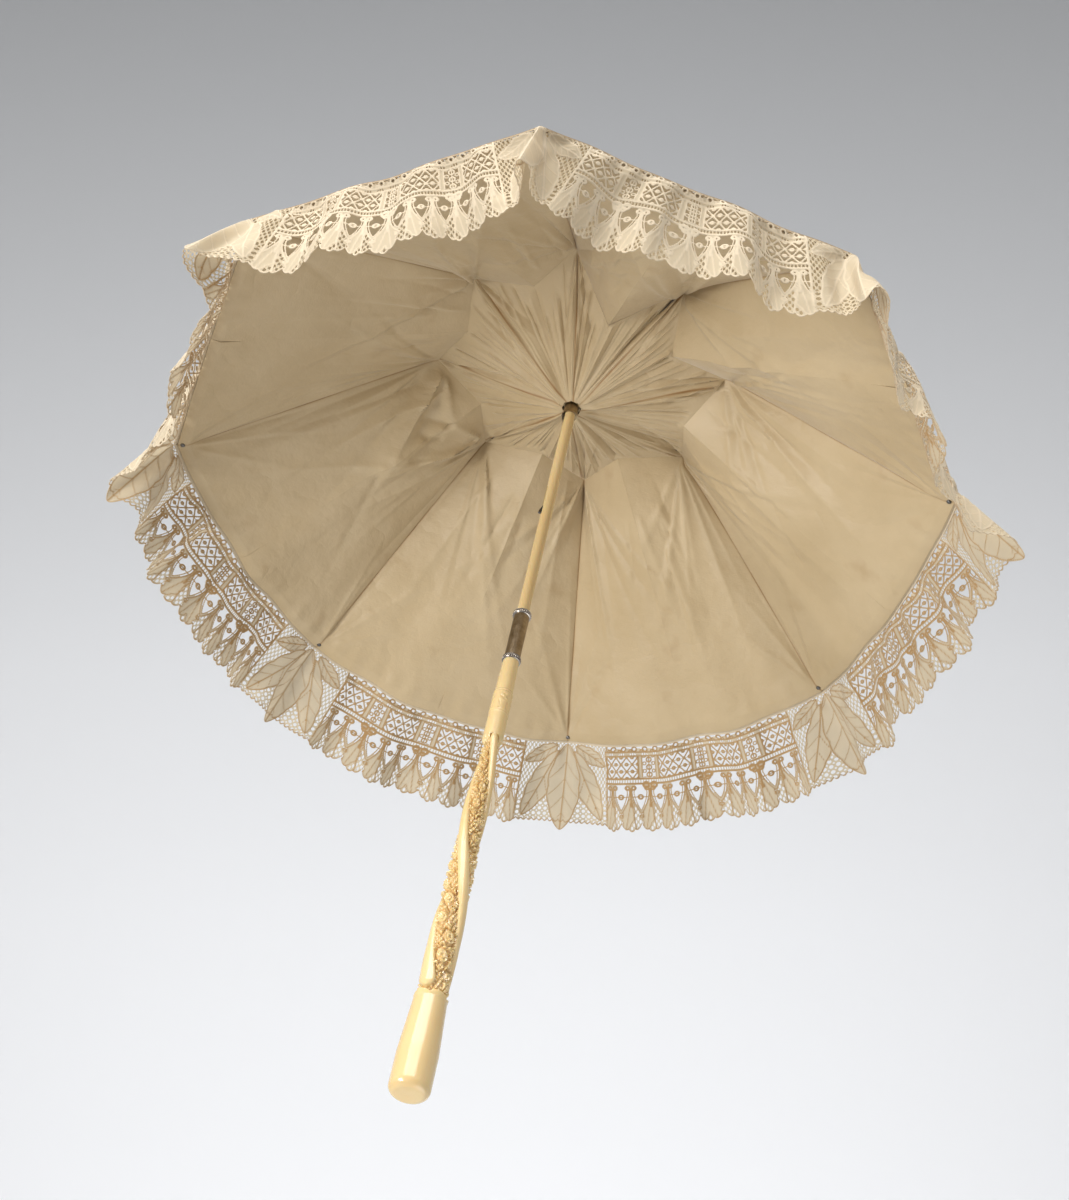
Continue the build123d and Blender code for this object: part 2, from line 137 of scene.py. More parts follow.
def rib_arc(r, offset=0.0):
    """(distance, height) on a rib's arc at a distance r from the stick, moved out by offset."""
    slope = np.arcsin((r - ARC_X) / ARC_R)
    reach = ARC_R + offset
    return ARC_X + reach * np.sin(slope), ARC_Z + reach * np.cos(slope)


def chord(r, u, z):
    """Points of a flat-chorded sector: u is 0 on the rib and 1 or -1 midway to the next one."""
    share = np.abs(u) / 2
    x = r * (1 - share * (1 - math.cos(STEP)))
    y = r * u / 2 * math.sin(STEP)
    return np.stack((x, y, z + 0 * x), axis=-1)


def turned(points, angle):
    c, s = math.cos(angle), math.sin(angle)
    return np.asarray(points) @ np.array(((c, s, 0), (-s, c, 0), (0, 0, 1)))


def grid_faces(rows, columns, closed=False):
    index = np.arange(rows * columns).reshape(rows, columns)
    if closed:
        index = np.hstack((index, index[:, :1]))
    corners = (index[:-1, :-1], index[:-1, 1:], index[1:, 1:], index[1:, :-1])
    return np.stack([c.ravel() for c in corners], axis=1)


def point_normals(points, faces):
    """Unit normals at the points of a mesh, weighted by the faces' areas."""
    a, b, c = points[faces[:, 0]], points[faces[:, 1]], points[faces[:, -1]]
    normals = np.zeros_like(points)
    face_normals = np.cross(b - a, c - a)
    for corner in range(faces.shape[1]):
        for axis in range(3):
            normals[:, axis] += np.bincount(faces[:, corner], face_normals[:, axis], len(points))
    return normals / np.maximum(np.linalg.norm(normals, axis=1, keepdims=True), 1e-12)


def shell(points, normals, faces, out, back):
    """A thin closed solid: two skins, out and back along the normals, joined round their edges."""
    count, sides = len(points), faces.shape[1]
    out, back = np.broadcast_to(out, count)[:, None], np.broadcast_to(back, count)[:, None]
    both = np.vstack((points + normals * out, points - normals * back))
    edges = np.vstack([faces[:, [i, (i + 1) % sides]] for i in range(sides)])
    keys = edges.min(1) * count + edges.max(1)
    _, first, uses = np.unique(keys, return_index=True, return_counts=True)
    rim = edges[first[uses == 1]]
    walls = np.column_stack((rim[:, 1], rim[:, 0], rim[:, 0] + count, rim[:, 1] + count))
    if sides == 3:
        walls = np.vstack((walls[:, [0, 1, 2]], walls[:, [0, 2, 3]]))
    return both, np.vstack((faces, faces[:, ::-1] + count, walls))


def make_mesh(name, points, faces, material, values=None):
    """An object from points in millimetres, faces of one size, and named values at its points."""
    mesh = bpy.data.meshes.new(name)
    faces = np.ascontiguousarray(faces, np.int32)
    mesh.vertices.add(len(points))
    mesh.vertices.foreach_set("co", (np.asarray(points) * MM).astype(np.float32).ravel())
    mesh.loops.add(faces.size)
    mesh.loops.foreach_set("vertex_index", faces.ravel())
    mesh.polygons.add(len(faces))
    mesh.polygons.foreach_set("loop_start", np.arange(0, faces.size, faces.shape[1], dtype=np.int32))
    for key, value in (values or {}).items():
        attribute = mesh.attributes.new(key, "FLOAT", "POINT")
        attribute.data.foreach_set("value", np.asarray(value, np.float32))
    mesh.update(calc_edges=True)
    mesh.polygons.foreach_set("use_smooth", np.ones(len(faces), bool))
    mesh.set_sharp_from_angle(angle=math.radians(60))
    mesh.materials.append(material)
    made = bpy.data.objects.new(name, mesh)
    bpy.context.scene.collection.objects.link(made)
    return made


def stands_for(piece, node, body):
    """Puts a piece in place of a CAD node, on a body."""
    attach(piece, body)
    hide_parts(node)


def smoothstep(low, high, value):
    t = np.clip((value - low) / (high - low), 0, 1)
    return t * t * (3 - 2 * t)


# ---- Materials ----


class Shader:
    """A material with a Principled shader, and short ways to add nodes to it."""

    def __init__(self, name, **sockets):
        self.material = bpy.data.materials.new(name)
        self.material.use_nodes = True
        self.nodes = self.material.node_tree.nodes
        self.links = self.material.node_tree.links
        self.principled = self.nodes["Principled BSDF"]
        self.output = self.nodes["Material Output"]
        for socket, value in sockets.items():
            self.principled.inputs[socket.replace("_", " ")].default_value = value
        self.place = self.nodes.new("ShaderNodeTexCoord").outputs["Object"]

    def feed(self, target, value):
        """Gives a socket a number, a colour or another node's output."""
        if isinstance(value, bpy.types.NodeSocket):
            self.links.new(value, target)
        elif isinstance(value, tuple):
            target.default_value = (*value, 1)
        else:
            target.default_value = value

    def attribute(self, name):
        node = self.nodes.new("ShaderNodeAttribute")
        node.attribute_name = name
        return node.outputs["Fac"]

    def noise(self, scale, detail=4.0, roughness=0.55, stretch=(1, 1, 1)):
        mapping = self.nodes.new("ShaderNodeMapping")
        mapping.inputs["Scale"].default_value = stretch
        self.feed(mapping.inputs["Vector"], self.place)
        node = self.nodes.new("ShaderNodeTexNoise")
        self.feed(node.inputs["Vector"], mapping.outputs["Vector"])
        for socket, value in (("Scale", scale), ("Detail", detail), ("Roughness", roughness)):
            self.feed(node.inputs[socket], value)
        return node.outputs["Fac"]

    def math(self, operation, *values):
        node = self.nodes.new("ShaderNodeMath")
        node.operation = operation
        for socket, value in zip(node.inputs, values):
            self.feed(socket, value)
        return node.outputs[0]

    def ramp(self, source, *stops):
        node = self.nodes.new("ShaderNodeValToRGB")
        self.feed(node.inputs["Fac"], source)
        elements = node.color_ramp.elements
        while len(elements) < len(stops):
            elements.new(0.5)
        for element, (position, colour) in zip(elements, stops):
            element.position = position
            element.color = (*colour, 1)
        return node.outputs["Color"]

    def mix(self, share, first, second):
        node = self.nodes.new("ShaderNodeMix")
        node.data_type = "RGBA"
        for number, value in ((0, share), (6, first), (7, second)):
            self.feed(node.inputs[number], value)
        return node.outputs[2]

    def bump(self, height, distance, strength=1.0):
        node = self.nodes.new("ShaderNodeBump")
        for socket, value in (("Distance", distance), ("Strength", strength), ("Height", height)):
            self.feed(node.inputs[socket], value)
        self.feed(self.principled.inputs["Normal"], node.outputs["Normal"])

    def colour(self, source):
        self.feed(self.principled.inputs["Base Color"], source)

    def roughness(self, source, low, high):
        node = self.nodes.new("ShaderNodeMapRange")
        for socket, value in (("To Min", low), ("To Max", high), ("Value", source)):
            self.feed(node.inputs[socket], value)
        self.feed(self.principled.inputs["Roughness"], node.outputs["Result"])

    def blend_in(self, share, shader):
        """Mixes a share of another shader into the surface."""
        surface = self.output.inputs["Surface"]
        before = surface.links[0].from_socket
        blend = self.nodes.new("ShaderNodeMixShader")
        for number, value in enumerate((share, before, shader.outputs[0])):
            self.feed(blend.inputs[number], value)
        self.feed(surface, blend.outputs[0])

    def let_light_through(self, share, colour):
        """Mixes in a translucent shader, for thin cloth."""
        thin = self.nodes.new("ShaderNodeBsdfTranslucent")
        self.feed(thin.inputs["Color"], colour)
        self.blend_in(share, thin)

    def let_view_through(self, share):
        """Mixes in clear gaps, for cloth whose open weave is too fine to model."""
        self.blend_in(share, self.nodes.new("ShaderNodeBsdfTransparent"))


def silk_material(name, pale, deep, seam, sheen):
    """Thin plain-weave silk: tone that drifts, faint stains, fine slubs, and brown at the seams."""
    s = Shader(name, Roughness=0.5, Sheen_Weight=sheen, Sheen_Roughness=0.4, Specular_IOR_Level=0.35)
    drift = s.ramp(s.noise(14, 5, 0.6), (0.3, deep), (0.7, pale))
    stains = s.ramp(s.noise(38, 3, 0.5), (0.64, (0, 0, 0)), (0.78, (1, 1, 1)))
    stained = s.mix(s.math("MULTIPLY", stains, 0.22), drift, seam)
    s.colour(s.mix(s.attribute("seam"), stained, seam))
    slubs = s.noise(900, 2, 0.5, (1, 1, 0.12))
    threads = s.noise(2600, 1, 0.5, (0.15, 0.15, 1))
    creases = s.math("ABSOLUTE", s.math("SUBTRACT", s.noise(26, 4, 0.5), 0.5))
    weave = s.math("MULTIPLY", s.math("ADD", slubs, threads), 0.03)
    s.bump(s.math("ADD", creases, weave), 0.005, 0.7)
    s.roughness(s.noise(60, 3), 0.38, 0.55)
    s.let_light_through(0.14, pale)
    return s.material


def lace_material(name, pale, cord_brown_and_shade):
    """Needle lace: thin cloth-stitch fillings that let light through, and thicker raised cords in a brown
    that is partly their own colour and partly painted shade.
    """
    s = Shader(name, Roughness=0.7, Sheen_Weight=0.2, Sheen_Roughness=0.5, Specular_IOR_Level=0.3)
    cord = s.attribute("cord")
    drift = s.ramp(s.noise(30, 4, 0.6), (0.3, tuple(c * 0.9 for c in pale)), (0.7, pale))
    # Painted shade: the 'tone' value browns the cords fully on their shaded inner side and only a little on
    # their lit outer side; the brown itself is partly the cords' own colour.
    s.colour(s.mix(s.attribute("tone"), drift, cord_brown_and_shade))
    s.bump(s.noise(2400, 2, 0.6), 0.0002, 0.5)
    s.roughness(s.noise(400, 2), 0.62, 0.82)
    thin = s.math("SUBTRACT", 0.5, s.math("MULTIPLY", cord, 0.38))
    s.let_light_through(thin, drift)
    s.let_view_through(s.math("MULTIPLY", s.math("SUBTRACT", 1.0, cord), 0.22))
    return s.material


def ivory_material(name, pale, honey, deep, shaded_cuts=False):
    """Polished ivory: cream with honey areas and fine lines along the stick; painted shade in its cuts,
    towards the deep colour.
    """
    s = Shader(name, Roughness=0.22, Subsurface_Weight=0.25, Subsurface_Scale=0.004, Coat_Weight=0.35,
               Coat_Roughness=0.08, Specular_IOR_Level=0.5)
    s.principled.inputs["Subsurface Radius"].default_value = (1.0, 0.6, 0.25)
    s.principled.inputs["IOR"].default_value = 1.54
    tone = s.ramp(s.noise(22, 4, 0.55, (1, 1, 0.35)), (0.32, honey), (0.68, pale))
    lines = s.ramp(s.noise(420, 3, 0.6, (1, 1, 0.02)), (0.45, (0, 0, 0)), (0.8, (1, 1, 1)))
    lined = s.mix(s.math("MULTIPLY", lines, 0.22), tone, honey)
    if shaded_cuts:
        # Painted shade: the 'depth' value darkens the cuts towards the deep colour.
        lined = s.mix(s.attribute("depth"), lined, deep)
    s.colour(lined)
    s.bump(s.noise(700, 2, 0.5, (1, 1, 0.05)), 0.00005, 0.4)
    s.roughness(s.noise(90, 3), 0.16, 0.3)
    return s.material


def metal_material(name, pale, deep, rough):
    """Worn metal with darker tarnish in cloudy patches and fine scratches round the tube."""
    s = Shader(name, Metallic=1.0, Roughness=rough)
    s.colour(s.ramp(s.noise(160, 5, 0.65), (0.35, deep), (0.65, pale)))
    s.roughness(s.noise(240, 4, 0.6), rough * 0.75, rough * 1.35)
    s.bump(s.noise(1500, 2, 0.5, (1, 1, 6)), 0.00003, 0.5)
    return s.material


SILK = silk_material("silk_lining", pale=(0.62, 0.485, 0.295), deep=(0.53, 0.40, 0.225),
                     seam=(0.30, 0.15, 0.045), sheen=0.25)
SILK_OUT = silk_material("silk_cover", pale=(0.64, 0.53, 0.36), deep=(0.56, 0.44, 0.28),
                         seam=(0.33, 0.22, 0.10), sheen=0.3)
# The lace's cord colour is a brown that is partly the cords' own and partly painted shade.
LACE = lace_material("needle_lace", (0.84, 0.74, 0.56), (0.42, 0.25, 0.10))
IVORY = ivory_material("ivory", (0.80, 0.62, 0.33), (0.72, 0.51, 0.23), (0.45, 0.25, 0.08))
# The carved ivory's deep colour is painted shade in its cuts.
CARVED = ivory_material("ivory_carved", (0.82, 0.64, 0.34), (0.74, 0.53, 0.24), (0.66, 0.42, 0.17),
                        shaded_cuts=True)
SILVER = metal_material("tarnished_silver", (0.42, 0.35, 0.26), (0.24, 0.19, 0.13), 0.3)
BRIGHT = metal_material("rubbed_silver", (0.55, 0.50, 0.44), (0.22, 0.18, 0.15), 0.2)
BRASS = metal_material("aged_brass", (0.42, 0.32, 0.18), (0.22, 0.16, 0.09), 0.35)
STEEL = metal_material("dark_steel", (0.20, 0.19, 0.18), (0.09, 0.09, 0.09), 0.35)


# ---- Silk cover and lining ----


def sag_of(u, t):
    """How far the cloth between two ribs is pulled in towards the stick."""
    return GORE_SAG * (1 - (1 - np.abs(u)) ** 2) * np.sin(math.pi * np.clip(t, 0, 1))


def rim_bow(u, k, share):
    """How far the cloth of sector k reaches out between its ribs, a share of the way to the rim."""
    middle = (k + np.where(u < 0, -0.5, 0.5)) * STEP
    return (RIM_BOW - RIM_BOW_LOW * np.sin(middle)) * (1 - (1 - np.abs(u)) ** 2) * share**3


def rim_wave(u, k, share):
    """Height of the small waves in the loose cloth of sector k near the rim."""
    angle = (k + u / 2) * STEP
    waves = np.sin(19 * angle + 0.7) + 0.7 * np.sin(31 * angle)
    return RIM_WAVE * waves * (1 - (1 - np.abs(u)) ** 2) * share**8


def canopy_point(r, u, offset, k):
    """A point of the outer cloth over the ribs, in sector 0's place."""
    share = np.clip(r / TIP[0], 0, 1.1)
    distance, height = rib_arc(r + rim_bow(u, k, share), offset)
    t = (r - PIVOT[0]) / (TIP[0] - PIVOT[0])
    return chord(distance, u, height - sag_of(u, t) + rim_wave(u, k, share))


def fold_height(x, y, folds):
    """Height of sharp folds at (x, y). Each fold is (start, end, height, width, taper)."""
    total = np.zeros_like(x)
    for (x0, y0), (x1, y1), height, width, taper in folds:
        dx, dy = x1 - x0, y1 - y0
        length = math.hypot(dx, dy)
        along = ((x - x0) * dx + (y - y0) * dy) / length**2
        across = ((x - x0) * dy - (y - y0) * dx) / length
        fade = np.clip(1 - along, 0, 1) ** taper * smoothstep(-0.05, 0.12, along)
        spread = width * (0.35 + 0.9 * np.clip(along, 0, 1))
        total += height * fade * np.exp(-np.abs(across) / spread)
    return total


def polar(distance, angle):
    return distance * math.cos(angle), distance * math.sin(angle)


def lining_folds(gore):
    """The outer lining's folds in one gore, as lines seen along the stick."""
    rng = np.random.default_rng(40 + gore)
    low, high = gore * STEP, (gore + 1) * STEP
    middle = (low + high) / 2
    folds = []
    for corner, turn in ((low, 1), (high, -1)):
        junction = polar(JUNCTION[0], corner)
        for i in range(8):
            aim = corner + turn * HALF * (0.10 + 0.22 * i + rng.uniform(-0.08, 0.08))
            end = polar(rng.uniform(120, 230), aim)
            folds.append((junction, end, rng.uniform(0.8, 2.4) * rng.choice((-1, 1)), 3.4, 1.0))
        tip = polar(TIP[0], corner)
        for i in range(4):
            aim = corner + turn * HALF * (0.10 + 0.22 * i)
            end = polar(rng.uniform(130, 190), aim)
            folds.append((tip, end, rng.uniform(0.5, 1.3) * rng.choice((-1, 1)), 2.6, 1.0))
    for i in range(8):
        angle = middle + HALF * rng.uniform(-0.8, 0.8)
        start = polar(rng.uniform(85, 120), angle)
        end = polar(rng.uniform(170, 225), angle + rng.uniform(-0.06, 0.06))
        folds.append((start, end, rng.uniform(0.6, 1.6) * rng.choice((-1, 1)), rng.uniform(3, 8), 0.7))
    return folds


def pocket_folds():
    """The slack pocket of cloth in the gore before rib 0: a flap with a sharp outline and creases."""
    first, last = polar(92, -0.02), polar(92, -STEP + 0.06)
    tip, heart = (129.0, -58.4), (84.0, -36.0)
    return [
        (first, tip, 4.4, 5.2, 0.4), (last, tip, 4.2, 5.4, 0.4), (first, heart, 3.4, 4.6, 0.3),
        (last, heart, 3.6, 4.6, 0.3), (heart, tip, 3.4, 6.5, 0.6), (heart, (104, -28), -2.8, 4.6, 0.4),
        (heart, (112, -52), -2.8, 4.6, 0.4), ((100, -40), (122, -50), 1.6, 3.0, 0.3),
        ((90, -46), (106, -36), -1.6, 3.0, 0.3),
    ]


PLEATS_IN_GORE = 13


def star_folds(gore):
    """The inner lining's fine pleats in one gore, fanning from the runner and from the junctions."""
    rng = np.random.default_rng(80 + gore)
    low = gore * STEP
    reach, _ = APEXES[gore]
    folds = []
    for i in range(PLEATS_IN_GORE):
        share = (i + 0.5 + rng.uniform(-0.3, 0.3)) / PLEATS_IN_GORE
        angle = low + STEP * share
        edge = JUNCTION[0] + (reach - JUNCTION[0]) * (1 - abs(2 * share - 1))
        height = rng.uniform(0.6, 1.7) * rng.choice((-1, 1))
        folds.append((polar(edge * rng.uniform(0.75, 1.1), angle), polar(7, angle), height, 1.4, 0.35))
    for corner, turn in ((low, 1), (low + STEP, -1)):
        junction = polar(JUNCTION[0] + 3, corner)
        for i in range(5):
            end = polar(rng.uniform(18, 40), corner + turn * STEP * (0.12 + 0.11 * i))
            folds.append((junction, end, rng.uniform(0.7, 1.8) * rng.choice((-1, 1)), 1.8, 0.7))
    apex = polar(reach + 8, low + HALF)
    folds.append((apex, polar(9, low + HALF), -1.6, 2.2, 0.5))
    return folds


FOLDS = [lining_folds(gore) for gore in range(RIBS)]
FOLDS[-1] += pocket_folds()
PLEATS = [star_folds(gore) for gore in range(RIBS)]


def folds_beside(lists, k):
    """The folds of the two gores beside rib k, in sector 0's place."""
    angle = -k * STEP
    c, s = math.cos(angle), math.sin(angle)

    def back(p):
        return c * p[0] - s * p[1], s * p[0] + c * p[1]

    both = lists[(k - 1) % RIBS] + lists[k]
    return [(back(a), back(b), height, width, taper) for a, b, height, width, taper in both]


def spread_u(count):
    """Places across a sector, closer together near the rib, where the seam is."""
    t = np.linspace(-1, 1, count)
    return np.sign(t) * np.abs(t) ** 1.35


def panel_edges(k, u):
    """The lining's line between its inner star and its outer panels, for places u in sector k."""
    junction = np.array((JUNCTION[0], 0, JUNCTION[2] - STAR_DROP))
    points = []
    for value in u:
        reach, height = APEXES[k if value >= 0 else (k - 1) % RIBS]
        side = HALF if value >= 0 else -HALF
        apex = np.array((reach * math.cos(side), reach * math.sin(side), RUNNER_Z + height))
        points.append(junction + (apex - junction) * abs(value))
    return np.array(points)


def cloth_piece(name, grid, material, body, joint, k, seam, node, towards, **sheet):
    """A silk sheet from a grid of points in sector 0's place, turned to sector k."""
    rows, columns = grid.shape[:2]
    points = turned(grid.reshape(-1, 3), k * STEP)
    faces = grid_faces(rows, columns)
    normals = point_normals(points, faces)
    if normals[:, 2].mean() * towards < 0:
        faces, normals = faces[:, ::-1], -normals
    solid, sides = shell(points, normals, faces, SILK_T / 2, SILK_T / 2)
    piece = make_mesh(name, solid, sides, material, {"seam": np.tile(seam.ravel(), 2)})
    stands_for(piece, node, body)
    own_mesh(piece)


def leaning(grid, outward):
    """Unit vectors up from each point, leaning out from the stick by a share."""
    away = grid[..., :2] / np.linalg.norm(grid[..., :2], axis=-1, keepdims=True)
    up = np.full(grid.shape[:2] + (1,), math.sqrt(1 - outward**2))
    return np.concatenate((away * outward, up), axis=-1)


def lining_panel(k):
    """The outer lining of a sector, stretched from the junctions to the rim."""
    u = spread_u(109)
    v = np.linspace(0, 1, 96)[:, None]
    inner = panel_edges(k, u)
    rim = canopy_point(TIP[0] - LINING_RIM_IN, u, PANEL_OFFSET, k)
    grid = inner[None] * (1 - v[..., None]) + rim[None] * v[..., None]
    from_rib = np.abs(grid[..., 1])
    fade = np.minimum(smoothstep(0, 0.05, v), smoothstep(0, 0.06, 1 - v))
    height = fold_height(grid[..., 0], grid[..., 1], folds_beside(FOLDS, k)) * fade
    height = np.maximum(FOLD_GAIN * height, -FOLD_ROOM - 0.3 * from_rib)
    furrow = FURROW * np.exp(-from_rib / 2.2) * fade
    ripple = 0.35 * np.sin(u * 40 + k)[None] * smoothstep(0.9, 1, v)
    grid = grid - leaning(grid, 0.62) * (height - furrow + ripple)[..., None]
    grid[0] += np.array((-TUCK, 0, TUCK / 2))
    sewn_edge = canopy_point(TIP[0] + RIM_LAP - 0.4, u, COVER_OFFSET - 0.5, k)
    grid = np.concatenate((grid, sewn_edge[None]))
    worn = 0.45 + 0.4 * np.sin(v * 9 + 2.4 * k) ** 2
    seam = np.exp(-(grid[..., 1] / 0.5) ** 2) * np.vstack((worn, worn[-1:]))
    cloth_piece(f"lining_panel_{k}", grid, SILK, f"rib_{k}", f"rib_turn_{k}", k, seam,
                f"canopy_gore_{k}", -1, flat=(2 * RIM_HALF * MM, PANEL_LENGTH), held="stretched",
                rests_on=[f"rib_{k}"])


def lining_star(k):
    """The inner lining of a sector, pleated from the runner out to the junctions."""
    u = spread_u(97)
    v = np.linspace(0, 1, 72)[:, None]
    outer = panel_edges(k, u)
    inner = chord(np.full_like(u, STAR_RING_R), u, RUNNER_Z + STAR_RING_Z)
    grid = inner[None] * (1 - v[..., None]) + outer[None] * v[..., None]
    fade = np.minimum(smoothstep(0, 0.10, v), smoothstep(0, 0.06, 1 - v))
    height = fold_height(grid[..., 0], grid[..., 1], folds_beside(PLEATS, k)) * fade
    ridge = PLEAT_RIDGE * np.exp(-np.abs(grid[..., 1]) / 1.2) * fade
    grid = grid - leaning(grid, -0.35) * (PLEAT_GAIN * height + ridge)[..., None]
    seam = np.exp(-((grid[..., 1] - 1.3) / 0.45) ** 2) * (0.6 + 0.4 * np.sin(v * 5 + k) ** 2)
    cloth_piece(f"lining_star_{k}", grid, SILK, f"stretcher_{k}", "runner_slide", k, seam,
                "lining_star", -1, flat=STAR_FLAT, held="gathered", rests_on=["runner", f"stretcher_{k}"])


def silk_cover(k):
    """The outer silk of a sector, stretched over its rib."""
    u = spread_u(81)
    r = np.linspace(COVER_START, TIP[0] + RIM_LAP, 90)[:, None]
    grid = canopy_point(r, u[None], COVER_OFFSET, k)
    ridge = 0.5 * np.exp(-np.abs(grid[..., 1]) / 1.2)
    grid = grid + np.array((0.4, 0, 0.9)) * ridge[..., None]
    seam = 0.6 * np.exp(-(grid[..., 1] / 0.6) ** 2)
    cloth_piece(f"silk_cover_{k}", grid, SILK_OUT, f"rib_{k}", f"rib_turn_{k}", k, seam,
                f"canopy_gore_{k}", 1, flat=(2 * RIM_HALF * MM, COVER_LENGTH), held="stretched",
                rests_on=[f"rib_{k}"])


# ---- Lace patterns: fields in millimetres, above zero where there is thread ----


def join(*fields):
    return np.maximum.reduce(np.broadcast_arrays(*fields))


def meet(*fields):
    return np.minimum.reduce(np.broadcast_arrays(*fields))


def band(distance, half_width):
    return half_width - np.abs(distance)


def every(value, pitch):
    """Distance from the nearest multiple of the pitch."""
    return (value + pitch / 2) % pitch - pitch / 2


def ring(x, y, radius, half_width):
    return half_width - np.abs(np.hypot(x, y) - radius)


def open_net(x, y, pitch, half_width):
    """Slanting threads both ways with a knot where they cross."""
    p, q = every(x + 0.6 * y, pitch), every(x - 0.6 * y, pitch)
    knots = 0.75 - np.hypot((p + q) / 2, (p - q) / 1.2)
    return join(band(p, half_width), band(q, half_width), knots)


def leaf(x, y, base, lean, length, width):
    """(inside, cords) of a veined leaf that grows from its base, leaning from the y axis."""
    c, s = math.cos(lean), math.sin(lean)
    along = (x - base[0]) * s + (y - base[1]) * c
    across = (x - base[0]) * c - (y - base[1]) * s
    share = np.clip(along / length, 0, 1)
    lobes = 0.9 * np.abs(np.sin(4 * math.pi * share)) * np.sin(math.pi * share)
    half = width / 2 * np.sin(math.pi * share**0.92) ** 0.62 + lobes
    inside = meet(half - np.abs(across), along, length - along)
    bend = np.abs(across) - 0.02 * across**2
    veins = meet(band(every(along - 1.5 * bend, length / 5), 0.36), inside - 1.0, length * 0.86 - along)
    midrib = meet(band(across, 0.42), inside)
    return inside, join(meet(band(inside - 0.4, 0.45), inside), veins, midrib)


def trellis(m, y, low, pitch, row):
    """Crossing bars with a small ring held in each diamond."""
    p = m / pitch + (y - low) / row
    q = m / pitch - (y - low) / row
    scale = math.hypot(1 / pitch, 1 / row)
    bars = join(band(every(p, 1) / scale, 0.42), band(every(q, 1) / scale, 0.42))
    fp, fq = every(p - 0.5, 1), every(q - 0.5, 1)
    dx, dy = (fp + fq) / 2 * pitch, (fp - fq) / 2 * row
    return bars, join(ring(dx, dy, 0.8, 0.5), meet(band(dy, 0.24), band(dx, pitch / 2)))


def tape(m, y, low, high, cord, pitch):
    """A ladder between two cords."""
    rungs = meet(band(every(m, pitch), 0.32), y - low, high - y)
    return join(band(y - low, cord), band(y - high, cord)), rungs


def cartouche(m, y, low, high, half):
    """An upright frame with a chain of rings on a stem."""
    tall = meet(y - low, high - y)
    sides = meet(band(np.abs(m) - half, 0.42), tall)
    stem = meet(band(m, 0.32), tall)
    chain = meet(ring(m, every(y - low - 2.5, 4.9), 1.5, 0.45), tall)
    curls = meet(ring(np.abs(m) - half + 1.6, every(y - low, 4.9), 1.0, 0.35), tall)
    return join(sides, stem, chain, curls)


def tulip_row(m, y):
    """(cords, fill, edge) of the row of tulips and of the leafy teeth below them."""
    t = every(m - TOOTH / 2, TOOTH)
    e = every(m, TOOTH)
    drop = np.clip((y - TULIP_WIDEST) / 13.8, 0, 1)
    half = np.where(y < TULIP_WIDEST, TULIP_HALF - 0.12 * (TULIP_WIDEST - y),
                    TULIP_HALF * (1 - drop**1.5) ** 0.85)
    tall = meet(y - TULIP_TOP, 44.0 - y)
    outline = meet(band(np.abs(t) - half, 0.42), tall)
    inner = meet(band(np.abs(t) - half + 1.35, 0.3), tall, half - 1.2)
    rim = meet(half - np.abs(t), np.abs(t) - half + 1.35, tall, y - 38)
    dot = join(ring(t, y - 33.0, 1.35, 0.55), meet(band(y - 33.0, 0.28), half - np.abs(t)))
    curls = ring(np.abs(e) - 1.9, y - 27.2, 1.15, 0.55)
    outside = np.abs(t) - half
    edge = tooth_edge(e)
    stem = meet(band(e, 0.55), y - 27, 40 - y)
    blade, _ = leaf(e, y, (0.0, 34.0), 0.16, 21.5, 6.2)
    blade_cords = meet(join(band(blade - 0.3, 0.32), band(e - 0.16 * (y - 34), 0.3)), blade, outside)
    second = meet(band(e + 0.55 + 0.10 * (y - 36), 0.36), y - 36, edge - y, outside)
    lattice = meet(open_net(e, y - 1.2, 2.5, 0.34), outside, y - 36)
    loop = meet(ring(t + 0.2, y - 45.6, 1.0, 0.45), outside)
    spandrel = meet(outside, 37 - y, y - TULIP_TOP)
    hem = band(y - edge + 0.4, 0.5)
    cords = join(outline, inner, dot, curls, stem, blade_cords, second, loop, hem)
    return cords, join(rim, meet(blade, outside), lattice, spandrel), edge


def tooth_edge(e):
    """The lower edge of the lace: teeth, each with small rounded lobes."""
    lobes = np.sqrt(np.abs(np.cos(3 * math.pi * e / TOOTH)))
    return 54.0 - 0.12 * e**2 + 1.7 * lobes


def leaf_group(a, y):
    """(cords, fill, edge) of the three-leaf group at a rib's tip; a is the distance from the rib."""
    centre, centre_cords = leaf(a, y, (0, 0.5), 0, 57.0, 21)
    side, side_cords = leaf(a, y, (6.0, 5.0), 0.40, 48, 14)
    small, small_cords = leaf(a, y, (7.0, 1.5), 1.05, 24, 9)
    leaves = join(centre, side, small)
    behind = meet(side_cords, -centre)
    behind_small = meet(small_cords, -centre, -side)
    scallops = np.abs(np.cos(math.pi * a / 3.2))
    edge = 51.0 + 1.5 * scallops
    ring_x, ring_y = every(a, 3.4), every(y - 44, 3.4)
    rings = meet(ring(ring_x, ring_y, 1.5, 0.4), y - 39, edge - y)
    lattice = meet(open_net(a, y, 2.6, 0.33), 40 - y)
    hem = meet(band(y - edge + 0.4, 0.5), edge - y)
    cords = join(centre_cords, behind, behind_small, hem)
    fill = join(leaves, meet(join(lattice, rings), edge - y))
    return cords, fill, join(edge - y, leaves)


